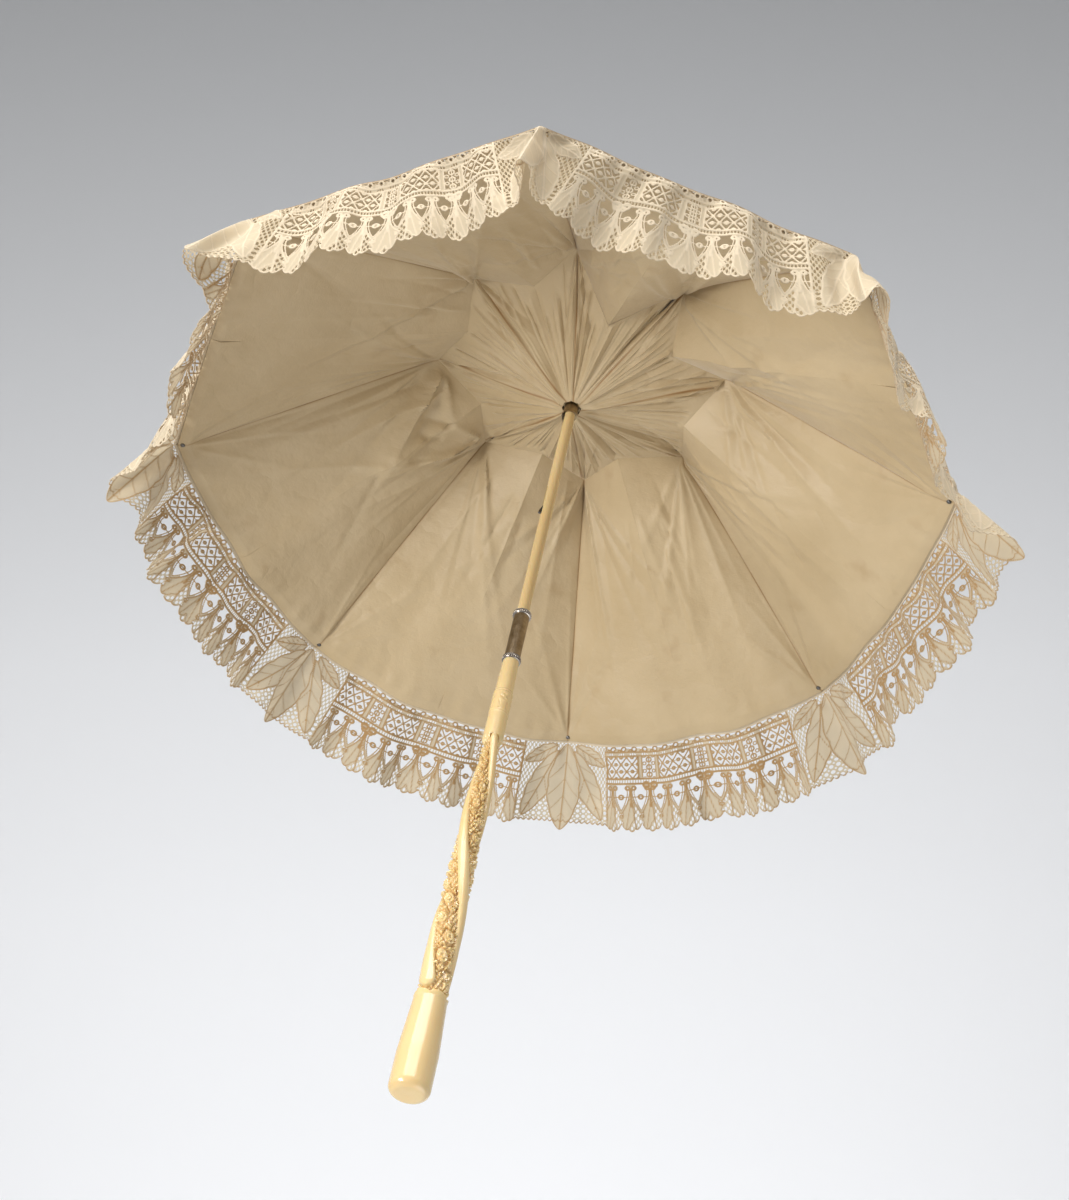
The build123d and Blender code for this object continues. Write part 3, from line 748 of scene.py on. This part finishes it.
def border_strip(m, y):
    """(cords, fill, edge) of the banded strip; m is the distance from the gore's middle."""
    upper, upper_rungs = tape(m, y, *UPPER_TAPE, 0.5, 1.5)
    lower, lower_rungs = tape(m, y, *LOWER_TAPE, 0.65, 1.6)
    big, little = every(m, 7.2), every(m - 2.7, 7.2)
    scrolls = meet(join(ring(big, y - 1.7, 1.5, 0.5), ring(little, y - 2.9, 0.8, 0.5)), SCROLL_END - y)
    fans = meet(2.4 - np.hypot(every(m - 4.6, 7.2), y - 3.4), y - 1.2)
    in_rows = meet(y - PANEL_ROWS[0], PANEL_ROWS[1] - y)
    in_panel = join(*[meet(m - low, high - m) for low, high in PANELS])
    panel = meet(join(*trellis(m, y, 7.2, 6.9, 9.2)), in_panel, in_rows)
    frames = join(*[meet(band(m - at, 0.5), in_rows) for at in (6.2, 27.9, 41.2, 62.2)])
    walls = join(*[meet(band(m - at, 1.2), in_rows) for at in (5.1, 29.0, 40.1)])
    divider = join(cartouche(m - 34.5, y, 6.4, 20.5, 4.4), cartouche(m, y, 6.4, 20.5, 4.0))
    divider = meet(divider, join(meet(m - 28, 41 - m), 6.2 - m), in_rows)
    hearts = join(*[ring(np.abs(m - at) - 2.4, y - HEART_Y, 1.7, 0.75) for at in (0, 34.5)])
    tulips, tulip_fill, edge = tulip_row(m, y)
    cords = join(scrolls, upper, lower, panel, frames, divider, hearts, tulips)
    return cords, join(fans, upper_rungs, lower_rungs, walls, tulip_fill), edge


def border_lace(x, y):
    """(thread, cord) fields of the border that falls beyond the rim, symmetrical about the rib."""
    a = np.abs(x)
    strip_cords, strip_fill, tooth = border_strip(RIM_HALF - a, y)
    strip = meet(tooth - y, a - GROUP_HALF + 1)
    leaf_cords, leaf_fill, group = leaf_group(a, y)
    group = meet(group, GROUP_HALF - a)
    side_cord = meet(band(a - GROUP_HALF + 0.3, 0.5), 49 - y)
    cords = join(meet(strip_cords, strip), meet(leaf_cords, group), side_cord)
    fill = join(meet(strip_fill, strip), meet(leaf_fill, group))
    return join(cords, fill), cords


def flower(x, y, radius, petals):
    """(inside, cords) of an open flower with a ring at its heart."""
    r, angle = np.hypot(x, y), np.arctan2(y, x)
    inside = radius * (0.72 + 0.28 * np.abs(np.cos(petals * angle / 2))) - r
    beside = np.sin(petals * angle / 2 + math.pi / 2) * r * 2 / petals
    split = meet(band(beside, 0.4), r - radius * 0.3, inside)
    return inside, join(band(inside - 0.4, 0.5), split, ring(x, y, radius * 0.25, 0.5))


def cover_lace(x, s):
    """(thread, cord) fields of the lace over the canopy; s is the distance up from the rim."""
    a = np.abs(x)
    half = (LACE_EDGE - s) * math.sin(HALF)
    m = np.abs(half - a)
    scrolls = ring(every(x, 5.8), s - 2.4, 1.8, 0.6)
    hem = band(s - 0.4, 0.6)
    ribbon, rungs = tape(x, s, 5.8, 9.4, 0.7, 2.3)
    lattice = meet(join(*trellis(x, s, 11.5, 9.6, 9.6)), s - 10.2, 30.8 - s)
    top_ribbon, top_rungs = tape(x, s, 32.0, 35.6, 0.7, 2.3)
    net = meet(open_net(x, s, 5.2, 0.42), s - 36)
    middle_cord = meet(band(m, 0.6), s - 36)
    motifs = []
    for height, radius in ((62, 13), (112, 11), (154, 9), (190, 7)):
        motifs.append(flower(x, s - height, radius, 6))
        for lean in (0.75, 2.2):
            motifs.append(leaf(a, s - height, (radius * 0.7, 0), lean, radius * 2.2, radius * 1.1))
    for height, length in ((50, 34), (88, 30), (122, 26), (152, 22), (178, 18)):
        motifs.append(leaf(m, s - height, (1.0, 0), 0.35, length, length * 0.45))
    fills, cords = zip(*motifs)
    solid = join(scrolls, hem, ribbon, lattice, top_ribbon, middle_cord, *cords)
    fill = join(net, rungs, top_rungs, *fills)
    within = half - a + 0.02
    return meet(join(solid, fill), within), meet(solid, within)


def marched(field, extra, x, y):
    """Triangles over the places where a field on a grid is above zero, cut along its edge.

    Returns the flat points, the extra field at them, and the triangles."""
    rows, columns = field.shape
    value = field.ravel()
    count = value.size
    quads = grid_faces(rows, columns)
    triangles = np.vstack((quads[:, [0, 1, 2]], quads[:, [0, 2, 3]]))
    inside = value[triangles] > 0
    held = inside.sum(1)

    def led_by(chosen, lead):
        order = (lead[:, None] + np.arange(3)) % 3
        return np.take_along_axis(triangles[chosen], order, axis=1)

    one = led_by(held == 1, inside[held == 1].argmax(1))
    two = led_by(held == 2, (~inside[held == 2]).argmax(1))
    cut = np.vstack((one[:, [0, 1]], one[:, [0, 2]], two[:, [1, 0]], two[:, [2, 0]]))
    keys, place = np.unique(cut.min(1) * count + cut.max(1), return_inverse=True)
    low, high = keys // count, keys % count
    share = np.clip(value[low] / (value[low] - value[high]), 0.06, 0.94)
    ends = np.cumsum([len(one), len(one), len(two)])
    one_left, one_right, two_left, two_right = np.split(place.ravel() + count, ends)
    tips = np.column_stack((one[:, 0], one_left, one_right))
    bases = np.vstack((np.column_stack((two[:, 1], two[:, 2], two_right)),
                       np.column_stack((two[:, 1], two_right, two_left))))
    faces = np.vstack((triangles[held == 3], tips, bases))

    def at(values):
        flat = values.ravel()
        return np.concatenate((flat, flat[low] + (flat[high] - flat[low]) * share))

    used, faces = np.unique(faces, return_inverse=True)
    return at(x)[used], at(y)[used], at(extra)[used], faces.reshape(-1, 3)


def lace_piece(name, points, faces, cord, body, node):
    """A sector of lace: a thin solid, thicker along its cords."""
    normals = point_normals(points, faces)
    raised = smoothstep(-0.2, 0.3, cord)
    solid, sides = shell(points, normals, faces, 0.08 + 0.36 * raised, 0.08 + 0.24 * raised)
    # The cords' brown, partly their own colour and partly painted shade, goes in full on the skin seen from
    # under the canopy and at a quarter on the lit outer skin.
    values = {"cord": np.tile(raised, 2), "tone": np.concatenate((raised, 0.25 * raised))}
    piece = make_mesh(name, solid, sides, LACE, values)
    stands_for(piece, node, body)
    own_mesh(piece)


def lace_cover(k, flat):
    """The lace over one sector of the canopy."""
    x, s, cord, faces = flat
    r = LACE_EDGE - s
    half = np.maximum(r * math.sin(HALF), 1e-6)
    u = np.clip(x / half, -1, 1)
    points = turned(canopy_point(r, u, LACE_OFFSET, k), k * STEP)
    lace_piece(f"lace_cover_{k}", points, faces, cord, f"rib_{k}", f"lace_gore_{k}")


# ---- The lace's fall beyond the rim, hung by cloth simulation ----

FALL_COLUMNS, FALL_ROWS = 24, 13
# Waves at the cloth's free edge before it hangs
RIPPLE = 8.0
HANG_FRAMES = 70


def fall_start():
    """The ring of cloth before it hangs: rows that carry the canopy's slope on past its rim."""
    u = -1 + 2 * np.arange(FALL_COLUMNS) / FALL_COLUMNS
    slope = math.asin((LACE_EDGE - ARC_X) / ARC_R)
    spread = u * HALF * 0.9
    onward = np.stack((math.cos(slope) * np.cos(spread), math.cos(slope) * np.sin(spread),
                       np.full_like(u, -math.sin(slope))), axis=-1)
    lift = np.array((math.sin(slope), 0, math.cos(slope)))
    rows = []
    for i in range(FALL_ROWS):
        out = FALL * i / (FALL_ROWS - 1)
        row = []
        for k in range(RIBS):
            edge = canopy_point(LACE_EDGE, u, LACE_OFFSET, k)
            ripple = RIPPLE * (out / FALL) * np.sin(u * 11 + 2.3 * k) * np.cos(u * 4 + 1.7 * k)
            row.append(turned(edge + onward * out + lift * ripple[:, None], k * STEP))
        rows.append(np.vstack(row))
    return np.array(rows)


def hang_in_place(start):
    """Hangs a ring of cloth by its first row and returns where its points come to rest."""
    rows, columns = start.shape[:2]
    cloth = make_mesh("hanging_cloth", start.reshape(-1, 3), grid_faces(rows, columns, True), LACE)
    pins = cloth.vertex_groups.new(name="pins")
    pins.add(list(range(columns)), 1.0, "REPLACE")
    pins.add(list(range(columns, 2 * columns)), 0.25, "REPLACE")
    scene = bpy.context.scene
    scene.gravity = DOWN * 9.81
    modifier = cloth.modifiers.new("hang", "CLOTH")
    settings = modifier.settings
    settings.quality = 8
    settings.mass = 0.01
    settings.tension_stiffness = 40
    settings.compression_stiffness = 40
    settings.shear_stiffness = 16
    settings.bending_stiffness = 1.2
    settings.air_damping = 4
    settings.vertex_group_mass = "pins"
    settings.shrink_min = -0.05
    modifier.collision_settings.use_collision = False
    modifier.point_cache.frame_end = HANG_FRAMES
    for number in range(1, HANG_FRAMES + 1):
        scene.frame_set(number)
    shown = cloth.evaluated_get(bpy.context.evaluated_depsgraph_get())
    settled = np.zeros(rows * columns * 3, np.float32)
    shown.data.vertices.foreach_get("co", settled)
    bpy.data.objects.remove(cloth)
    scene.frame_set(1)
    return settled.reshape(rows, columns, 3).astype(float) / MM


def cubic(p0, p1, p2, p3, t):
    """A smooth curve through four points, between the middle two."""
    t = t[:, None]
    bend = 2 * p0 - 5 * p1 + 4 * p2 - p3 + t * (3 * (p1 - p2) + p3 - p0)
    return p1 + 0.5 * t * (p2 - p0 + t * bend)


def on_grid(grid, row, column):
    """Smooth points between those of a grid that closes on itself across its columns."""
    grid = np.vstack((2 * grid[:1] - grid[1:2], grid, 2 * grid[-1:] - grid[-2:-1]))
    base_row = np.clip(row.astype(int), 0, grid.shape[0] - 4)
    base_column = np.floor(column).astype(int)
    lines = []
    for i in range(4):
        across = [grid[base_row + i, (base_column + j - 1) % grid.shape[1]] for j in range(4)]
        lines.append(cubic(*across, column - base_column))
    return cubic(*lines, row - base_row)


def lace_fall(k, flat, hung):
    """One sector of the lace's border, laid over the hanging cloth."""
    x, y, cord, faces = flat
    row = y / FALL * (FALL_ROWS - 1)
    column = (x / RIM_HALF + 1) / 2 * FALL_COLUMNS + k * FALL_COLUMNS
    points = on_grid(hung, row, column)
    lace_piece(f"lace_border_{k}", points, faces, cord, f"lace_fall_{k}", f"lace_fall_{k}")


def flat_lace(pattern, half, depth, spacing):
    """A lace pattern's flat triangles: places across and along, the cords' field, and the faces."""
    across = np.linspace(-half, half, int(2 * half / spacing) + 1)
    along = np.linspace(0, depth, int(depth / spacing) + 1)
    x, y = np.meshgrid(across, along)
    thread, cord = pattern(x, y)
    return marched(thread, cord, x, y)


# ---- Ivory stick ----

BUTT_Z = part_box("grip")[0].z / MM
RIBBON_TURN = 95.0
RIBBON_TOP, RIBBON_FOOT = 231.0, 58.0


# (height above the butt, greatest radius) along the carved length, and along the neck
STEM_PROFILE = [(53, 8.6), (57, 8.95), (61, 9.5), (66, 9.0), (88, 8.3), (112, 8.5), (138, 8.5),
                (165, 7.4), (191, 6.5), (215, 5.95), (230, 5.75)]
NECK_PROFILE = [(230, 5.75), (247, 5.5), (248, 5.75), (264, 5.55), (265, 5.15), (289.5, 4.65)]
NECK_BAND_LOW, NECK_BAND_HIGH, NECK_FLOWERS = 247.0, 265.0, 4
# Depths of the carving: the ground between the motifs, beside the ribbons, and the ribbons' sides
GROUND_CUT, DEEPEST_CUT, RIBBON_CUT, EDGE_CUT = 3.4, 2.6, 2.2, 1.3
ROSES, ROSE_SPACING, FIRST_ROSE = 14, 12.0, 66
# The cut round each carved motif: how much wider than the motif, and its floor's height
CUT_ROUND, CUT_FLOOR = 1.2, 0.18


def wrapped(angle):
    return (angle + math.pi) % math.tau - math.pi


def rose(x, y, radius):
    """Height from 0 to 1 of a rose seen from above: petals in rings round a bud."""
    r, angle = np.hypot(x, y) / radius, np.arctan2(y, x)
    ringed = r * 2.7
    whorl = np.floor(ringed)
    petal = np.abs(np.sin((angle + whorl * 0.9 + 0.6 * r) * 2.5))
    lip = (ringed - whorl) ** 2
    dome = np.clip(1 - r**2, 0, 1) ** 0.3
    return dome * (0.56 + 0.14 * petal + 0.3 * lip)


def carved_leaf(x, y, lean, length, width):
    """Height of a serrated leaf with a cut midrib."""
    c, s = math.cos(lean), math.sin(lean)
    along, across = (x * s + y * c) / length, x * c - y * s
    share = np.clip(along, 0, 1)
    half = width / 2 * np.sin(math.pi * share**0.8) * (1 + 0.12 * np.sin(share * 26))
    inside = (half - np.abs(across)) / (width / 2)
    veins = 0.07 * np.abs(np.sin(share * 12 - np.abs(across) * 1.4))
    shape = 0.78 * np.clip(inside * 3, 0, 1) ** 0.6 + veins - 0.34 * np.exp(-(across / 0.34) ** 2)
    return np.where((along > 0) & (along < 1) & (inside > 0), shape, 0)


def laid_on(relief, motif, x, y, *sizes):
    """Lays a motif over the carving before it, with a deep cut all round it."""
    around = motif(x, y, *sizes[:-1], sizes[-1] * CUT_ROUND) > 0
    relief = np.where(around, CUT_FLOOR, relief)
    shape = motif(x, y, *sizes)
    return np.where(shape > 0, shape, relief)


def stem_radius(height):
    """The carved length's greatest radius at a height above the butt."""
    return np.interp(height, *zip(*STEM_PROFILE))


def ribbon(across, height):
    """Height from 0 to 1 of a smooth ribbon, rounded across and at its two ends."""
    width = np.interp(height, (60, 76, 110, 160, 231), (6.2, 5.6, 4.3, 3.8, 3.1))
    top = np.clip((height - (RIBBON_TOP - 4)) / 4, 0, 1)
    foot = np.clip((RIBBON_FOOT + 6 - height) / 6, 0, 1)
    width = width * np.sqrt(np.clip(1 - np.maximum(top, foot) ** 2, 0, 1))
    inside = np.clip(1 - (across / np.maximum(width, 0.01)) ** 2, 0, 1)
    return np.where(width > 0.05, np.sqrt(inside), 0)


def garland(around, height, start, rng):
    """Height from 0 to 1 of roses, buds and leaves laid over berries, up along one garland."""
    grown = 0.35 + 0.35 * np.abs(np.sin(around * 0.9 + height) * np.sin(height * 0.8 - around))
    for i in range(ROSES):
        at = start + ROSE_SPACING * i
        share = np.interp(at, (66, 230), (1.0, 0.66))
        side = 2.8 * share * (-1) ** i
        place = (around - side, height - at)
        for lean in (0.9, -1.0, 2.3, -2.2):
            twist = lean + rng.uniform(-0.3, 0.3)
            size = share * rng.uniform(10.5, 12.5)
            grown = laid_on(grown, carved_leaf, *place, twist, size, 6.0 * share)
        grown = laid_on(grown, rose, around + side * 1.8, height - at - 6.0, 3.3 * share)
        grown = laid_on(grown, rose, *place, 4.9 * share)
    return grown


def carving(angle, height):
    """(radius, painted shade) of the carved stem: two smooth ribbons wind round garlands of roses."""
    rng = np.random.default_rng(7)
    radius = stem_radius(height)
    relief = np.zeros_like(radius)
    smooth = np.zeros_like(radius)
    for j in range(2):
        centre = (RIBBON_TOP + 2 - height + RIBBON_TURN * j) / RIBBON_TURN * math.pi
        across = wrapped(angle - centre) * radius * 0.96
        smooth = np.maximum(smooth, ribbon(across, height))
        around = wrapped(angle - centre - math.pi / 2) * radius
        grown = garland(around, height, FIRST_ROSE + ROSE_SPACING / 2 * j, rng)
        relief = np.where(np.abs(around) < math.pi / 2 * radius, grown, relief)
    lip = 54.6 + 1.8 * np.abs(np.sin(angle * 2.5 + 0.4)) ** 0.7
    collar = smoothstep(lip + 0.5, lip - 0.2, height)
    edge = EDGE_CUT * np.exp(-((smooth - 0.12) / 0.14) ** 2)
    carved = np.minimum(GROUND_CUT * (1 - relief), DEEPEST_CUT) + edge
    depth = np.where(smooth > 0.3, RIBBON_CUT * (1 - smooth), carved)
    depth = depth * (1 - smoothstep(224, 230, height) * (smooth < 0.02))
    depth = depth * (1 - collar) + collar * 0.25 * smoothstep(lip, 53, height)
    # Painted shade: darkens the deepest cuts, off the ribbons and the collar.
    shade = 0.8 * smoothstep(1.4, 2.9, depth) * (smooth < 0.3) * (1 - collar)
    return radius - depth, shade


def neck_relief(angle, height):
    """(radius, painted shade) of the neck: plain ivory with one band of small flowers and bellflowers."""
    radius = np.interp(height, *zip(*NECK_PROFILE))
    above, below = height - NECK_BAND_LOW, NECK_BAND_HIGH - height
    in_band = smoothstep(0, 0.6, above) * smoothstep(0, 0.6, below)
    across = every(angle - FRONT, math.tau / NECK_FLOWERS) * radius
    up = height - 258.5
    r, turn = np.hypot(across, up), np.arctan2(up, across)
    petal = np.clip(1 - np.abs(r - 1.6) / 1.3, 0, 1) * (0.5 + 0.5 * np.cos(4 * turn)) ** 0.7
    heart = np.clip(1 - r / 0.6, 0, 1)
    cup = np.clip(1 - np.abs(np.abs(across) - 1.9 - 0.25 * np.abs(height - 252)) / 0.45, 0, 1)
    cup = cup * smoothstep(249, 250, height) * smoothstep(256, 255, height)
    lines = np.exp(-((below - 1.6) / 0.35) ** 2) + np.exp(-((above - 1.2) / 0.35) ** 2)
    cut = np.clip(0.55 * lines + 0.7 * petal + 0.55 * cup - 0.3 * heart, 0, 1) * in_band
    # The second value is painted shade, darker where the cut is deeper.
    return radius - 0.42 * cut, cut * 0.45


def turned_piece(name, node, body, relief, rows, columns):
    """A solid of revolution with carved relief and painted shade in its cuts, in place of a CAD node."""
    low, high = (corner.z / MM - BUTT_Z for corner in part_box(node))
    height, angle = np.meshgrid(np.linspace(low, high, rows), np.linspace(0, math.tau, columns, False),
                                indexing="ij")
    # The relief gives the radius and the painted shade; the shade is kept as the 'depth' value.
    radius, depth = relief(wrapped(angle - FRONT), height)
    points = np.stack((radius * np.cos(angle), radius * np.sin(angle), height + BUTT_Z), axis=-1)
    points = np.vstack((points.reshape(-1, 3), (0, 0, low + BUTT_Z), (0, 0, high + BUTT_Z)))
    base, top = len(points) - 2, len(points) - 1
    ring_ids = np.arange(columns)
    following = np.roll(ring_ids, -1)
    last = (rows - 1) * columns
    quads = grid_faces(rows, columns, True)
    triangles = np.vstack((quads[:, [0, 1, 2]], quads[:, [0, 2, 3]],
                           np.column_stack((following, ring_ids, np.full(columns, base))),
                           np.column_stack((ring_ids + last, following + last, np.full(columns, top)))))
    shade = np.concatenate((depth.ravel(), (0, 0)))
    piece = make_mesh(name, points, triangles, CARVED, {"depth": shade})
    stands_for(piece, node, body)


# ---- Metal, rosette ----


def joined(parts):
    """(points, faces) of several (points, faces) parts together."""
    starts = np.cumsum([0] + [len(points) for points, _ in parts])
    faces = [faces + start for (_, faces), start in zip(parts, starts)]
    return np.vstack([points for points, _ in parts]), np.vstack(faces)


def beaded_rings():
    """The sleeve's two turned rings, each with a row of beads round its middle."""
    low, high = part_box("sleeve_rings")
    outer = high.x / MM
    height, beads, bead_radius = 3.2, 26, 0.62
    half_profile = [(1.2, 0), (0.5, 0.05), (0.2, 0.45), (0.45, 0.9)]
    profile = half_profile + [(0.62, height / 2)] + [(inset, height - z) for inset, z in half_profile[::-1]]
    around = np.linspace(0, math.tau, 72, False)
    parts = []
    for base in (low.z / MM, high.z / MM - height):
        band_points = [((outer - inset) * math.cos(t), (outer - inset) * math.sin(t), base + z)
                       for inset, z in profile for t in around]
        parts.append((np.array(band_points), grid_faces(len(profile), len(around), True)))
        points, faces = ball(bead_radius)
        for i in range(beads):
            place = (*polar(outer - 0.55, math.tau * i / beads), base + height / 2)
            parts.append((points + np.array(place), faces))
    piece = make_mesh("beaded_rings", *joined(parts), BRIGHT)
    stands_for(piece, "sleeve_rings", "sleeve")


def ball(radius, rows=9, columns=12):
    tilt, turn = np.meshgrid(np.linspace(0.02, math.pi - 0.02, rows),
                             np.linspace(0, math.tau, columns, False), indexing="ij")
    x, y = np.sin(tilt) * np.cos(turn), np.sin(tilt) * np.sin(turn)
    points = radius * np.stack((x, y, np.cos(tilt)), axis=-1)
    return points.reshape(-1, 3), grid_faces(rows, columns, True)[:, ::-1]


def silk_rosette():
    """Two gathered rounds of silk ribbon at the crown."""
    low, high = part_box("crown_rosette")
    outer, base, top = high.x / MM, low.z / MM, high.z / MM
    turn = np.linspace(0, math.tau, 360, False)
    share = np.linspace(0, 1, 14)[:, None]
    parts = []
    for size, pleats, lift in ((outer, 34, 0.2), (outer * 0.68, 26, 1.3)):
        r = 4.0 + (size - 4.0) * share
        wave = np.sin(turn * pleats + 0.6 * np.sin(3 * turn)) * 0.75 * share**0.7
        z = base + lift + (top - base - 1.6) * (1 - share) ** 1.5 + 0.6 + wave
        grid = np.stack((r * np.cos(turn), r * np.sin(turn), z), axis=-1).reshape(-1, 3)
        sides = grid_faces(len(share), len(turn), True)
        parts.append(shell(grid, point_normals(grid, sides), sides, 0.12, 0.12))
    points, faces = joined(parts)
    piece = make_mesh("silk_rosette", points, faces, SILK_OUT, {"seam": np.zeros(len(points))})
    stands_for(piece, "crown_rosette", "shaft")


def finish_nodes():
    """Gives the CAD's own visible nodes their materials."""
    rods = [f"{kind}_{k}" for kind in ("rib", "stretcher") for k in range(RIBS)]
    springs = ["hinge_pin", "top_spring", "hand_spring", "crown_wire", "runner_wire"]
    finishes = [
        (IVORY, "ivory", ["grip", "upper_shaft", "ferrule"]),
        (SILVER, "silver", ["sleeve_tube"]),
        (BRASS, "brass", ["hinge_fork", "hinge_tongue", "crown_notch", "crown_cap", "runner"]),
        (STEEL, "steel", springs + rods),
    ]
    for material, slot, names in finishes:
        for name in names:
            node = frame["nodes"][name]
            node.data.materials.clear()
            node.data.materials.append(material)


# ---- Stage, light and camera ----

FLOOR_DISTANCE, WALL_DISTANCE, STAGE_REACH, SWEEP = 2.6, 4.6, 9.0, 2.0


def stage_axes():
    """(forward, right, up) of the room, level with the leaning parasol."""
    up = -DOWN
    forward = (CAMERA_TARGET - CAMERA_PLACE).normalized()
    forward = (forward - up * forward.dot(up)).normalized()
    return forward, forward.cross(up).normalized(), up


def backdrop_material():
    """Pale paper with painted shade: lightest on the floor, darker up the wall, as if less light reached it.
    """
    s = Shader("backdrop_paper_painted_shade", Roughness=0.9, Specular_IOR_Level=0.1)
    # Painted shade: the paper darkens from the floor up to the top of the wall.
    s.colour(s.ramp(s.attribute("height"), (0.0, (0.92, 0.925, 0.94)), (0.5, (0.80, 0.805, 0.815)),
                    (1.0, (0.47, 0.475, 0.48))))
    return s.material


def backdrop():
    """One sheet of paper: the floor, a wide sweep and the wall behind."""
    forward, right, up = stage_axes()
    profile = [(-STAGE_REACH, 0.0)]
    for i in range(13):
        t = math.radians(90 * i / 12)
        profile.append((WALL_DISTANCE - SWEEP + SWEEP * math.sin(t), SWEEP * (1 - math.cos(t))))
    profile += [(WALL_DISTANCE, 2.0 + 0.4 * i) for i in range(1, 19)]
    points, heights = [], []
    for side in (-STAGE_REACH, STAGE_REACH):
        for ahead, height in profile:
            points.append((forward * ahead + right * side + up * (height - FLOOR_DISTANCE)) / MM)
            # How far up the sheet each point is, for its painted shade.
            heights.append(np.clip((height - FLOOR_DISTANCE + 1.9) / 3.9, 0, 1))
    piece = make_mesh("backdrop", np.array([tuple(p) for p in points]), grid_faces(2, len(profile))[:, ::-1],
                      backdrop_material(), {"height": heights})


def soft_light(name, place, target, size, power, colour=(1, 1, 1)):
    light = bpy.data.lights.new(name, "AREA")
    light.shape = "RECTANGLE"
    light.size, light.size_y = size
    light.energy = power
    light.color = colour
    lamp = bpy.data.objects.new(name, light)
    lamp.location = place
    lamp.rotation_euler = (target - place).to_track_quat("-Z", "Y").to_euler()
    bpy.context.scene.collection.objects.link(lamp)


def lights():
    forward, right, up = stage_axes()
    middle = Vector((0, 0, 0.35))
    soft_light("overhead", middle + up * 2.0 + forward * 0.1, middle, (2.2, 1.8), 66, (1, 0.99, 0.97))
    soft_light("front_left", middle - forward * 1.6 - right * 1.7 + up * 0.3, middle, (0.5, 1.2), 46)
    soft_light("front_low", middle - forward * 1.2 - up * 1.8 + right * 0.6, middle, (1.8, 1.2), 12)
    wall = middle + forward * 4.2 - up * 1.6
    soft_light("wall_wash", middle + forward * 1.6 - up * 2.2, wall, (4.0, 0.8), 38)
    world = bpy.data.worlds.new("studio")
    world.use_nodes = True
    background = world.node_tree.nodes["Background"]
    background.inputs["Color"].default_value = (0.97, 0.98, 1.0, 1)
    background.inputs["Strength"].default_value = 0.42
    bpy.context.scene.world = world


def camera():
    data = bpy.data.cameras.new("camera")
    data.lens, data.sensor_width = LENS, SENSOR
    data.clip_end = 50
    lens = bpy.data.objects.new("camera", data)
    forward = (CAMERA_TARGET - CAMERA_PLACE).normalized()
    right = forward.cross(-DOWN).normalized()
    up = right.cross(forward)
    turn = Matrix((right, up, -forward)).transposed()
    lens.matrix_world = Matrix.Translation(CAMERA_PLACE) @ turn.to_4x4()
    bpy.context.scene.collection.objects.link(lens)
    bpy.context.scene.camera = lens


camera()
backdrop()
lights()
bpy.context.scene.view_settings.view_transform = "Standard"
finish_nodes()
turned_piece("carved_handle", "carved_stem", "handle", carving, 590, 160)
turned_piece("carved_neck", "neck", "handle", neck_relief, 220, 128)
beaded_rings()
silk_rosette()

start = fall_start()
hung = hang_in_place(start)
border = flat_lace(border_lace, RIM_HALF, FALL, LACE_GRID)
covering = flat_lace(cover_lace, LACE_EDGE * math.sin(HALF), LACE_EDGE - LACE_START, COVER_GRID)
for k in range(RIBS):
    silk_cover(k)
    lining_panel(k)
    lining_star(k)
    lace_cover(k, covering)
    lace_fall(k, border, hung)
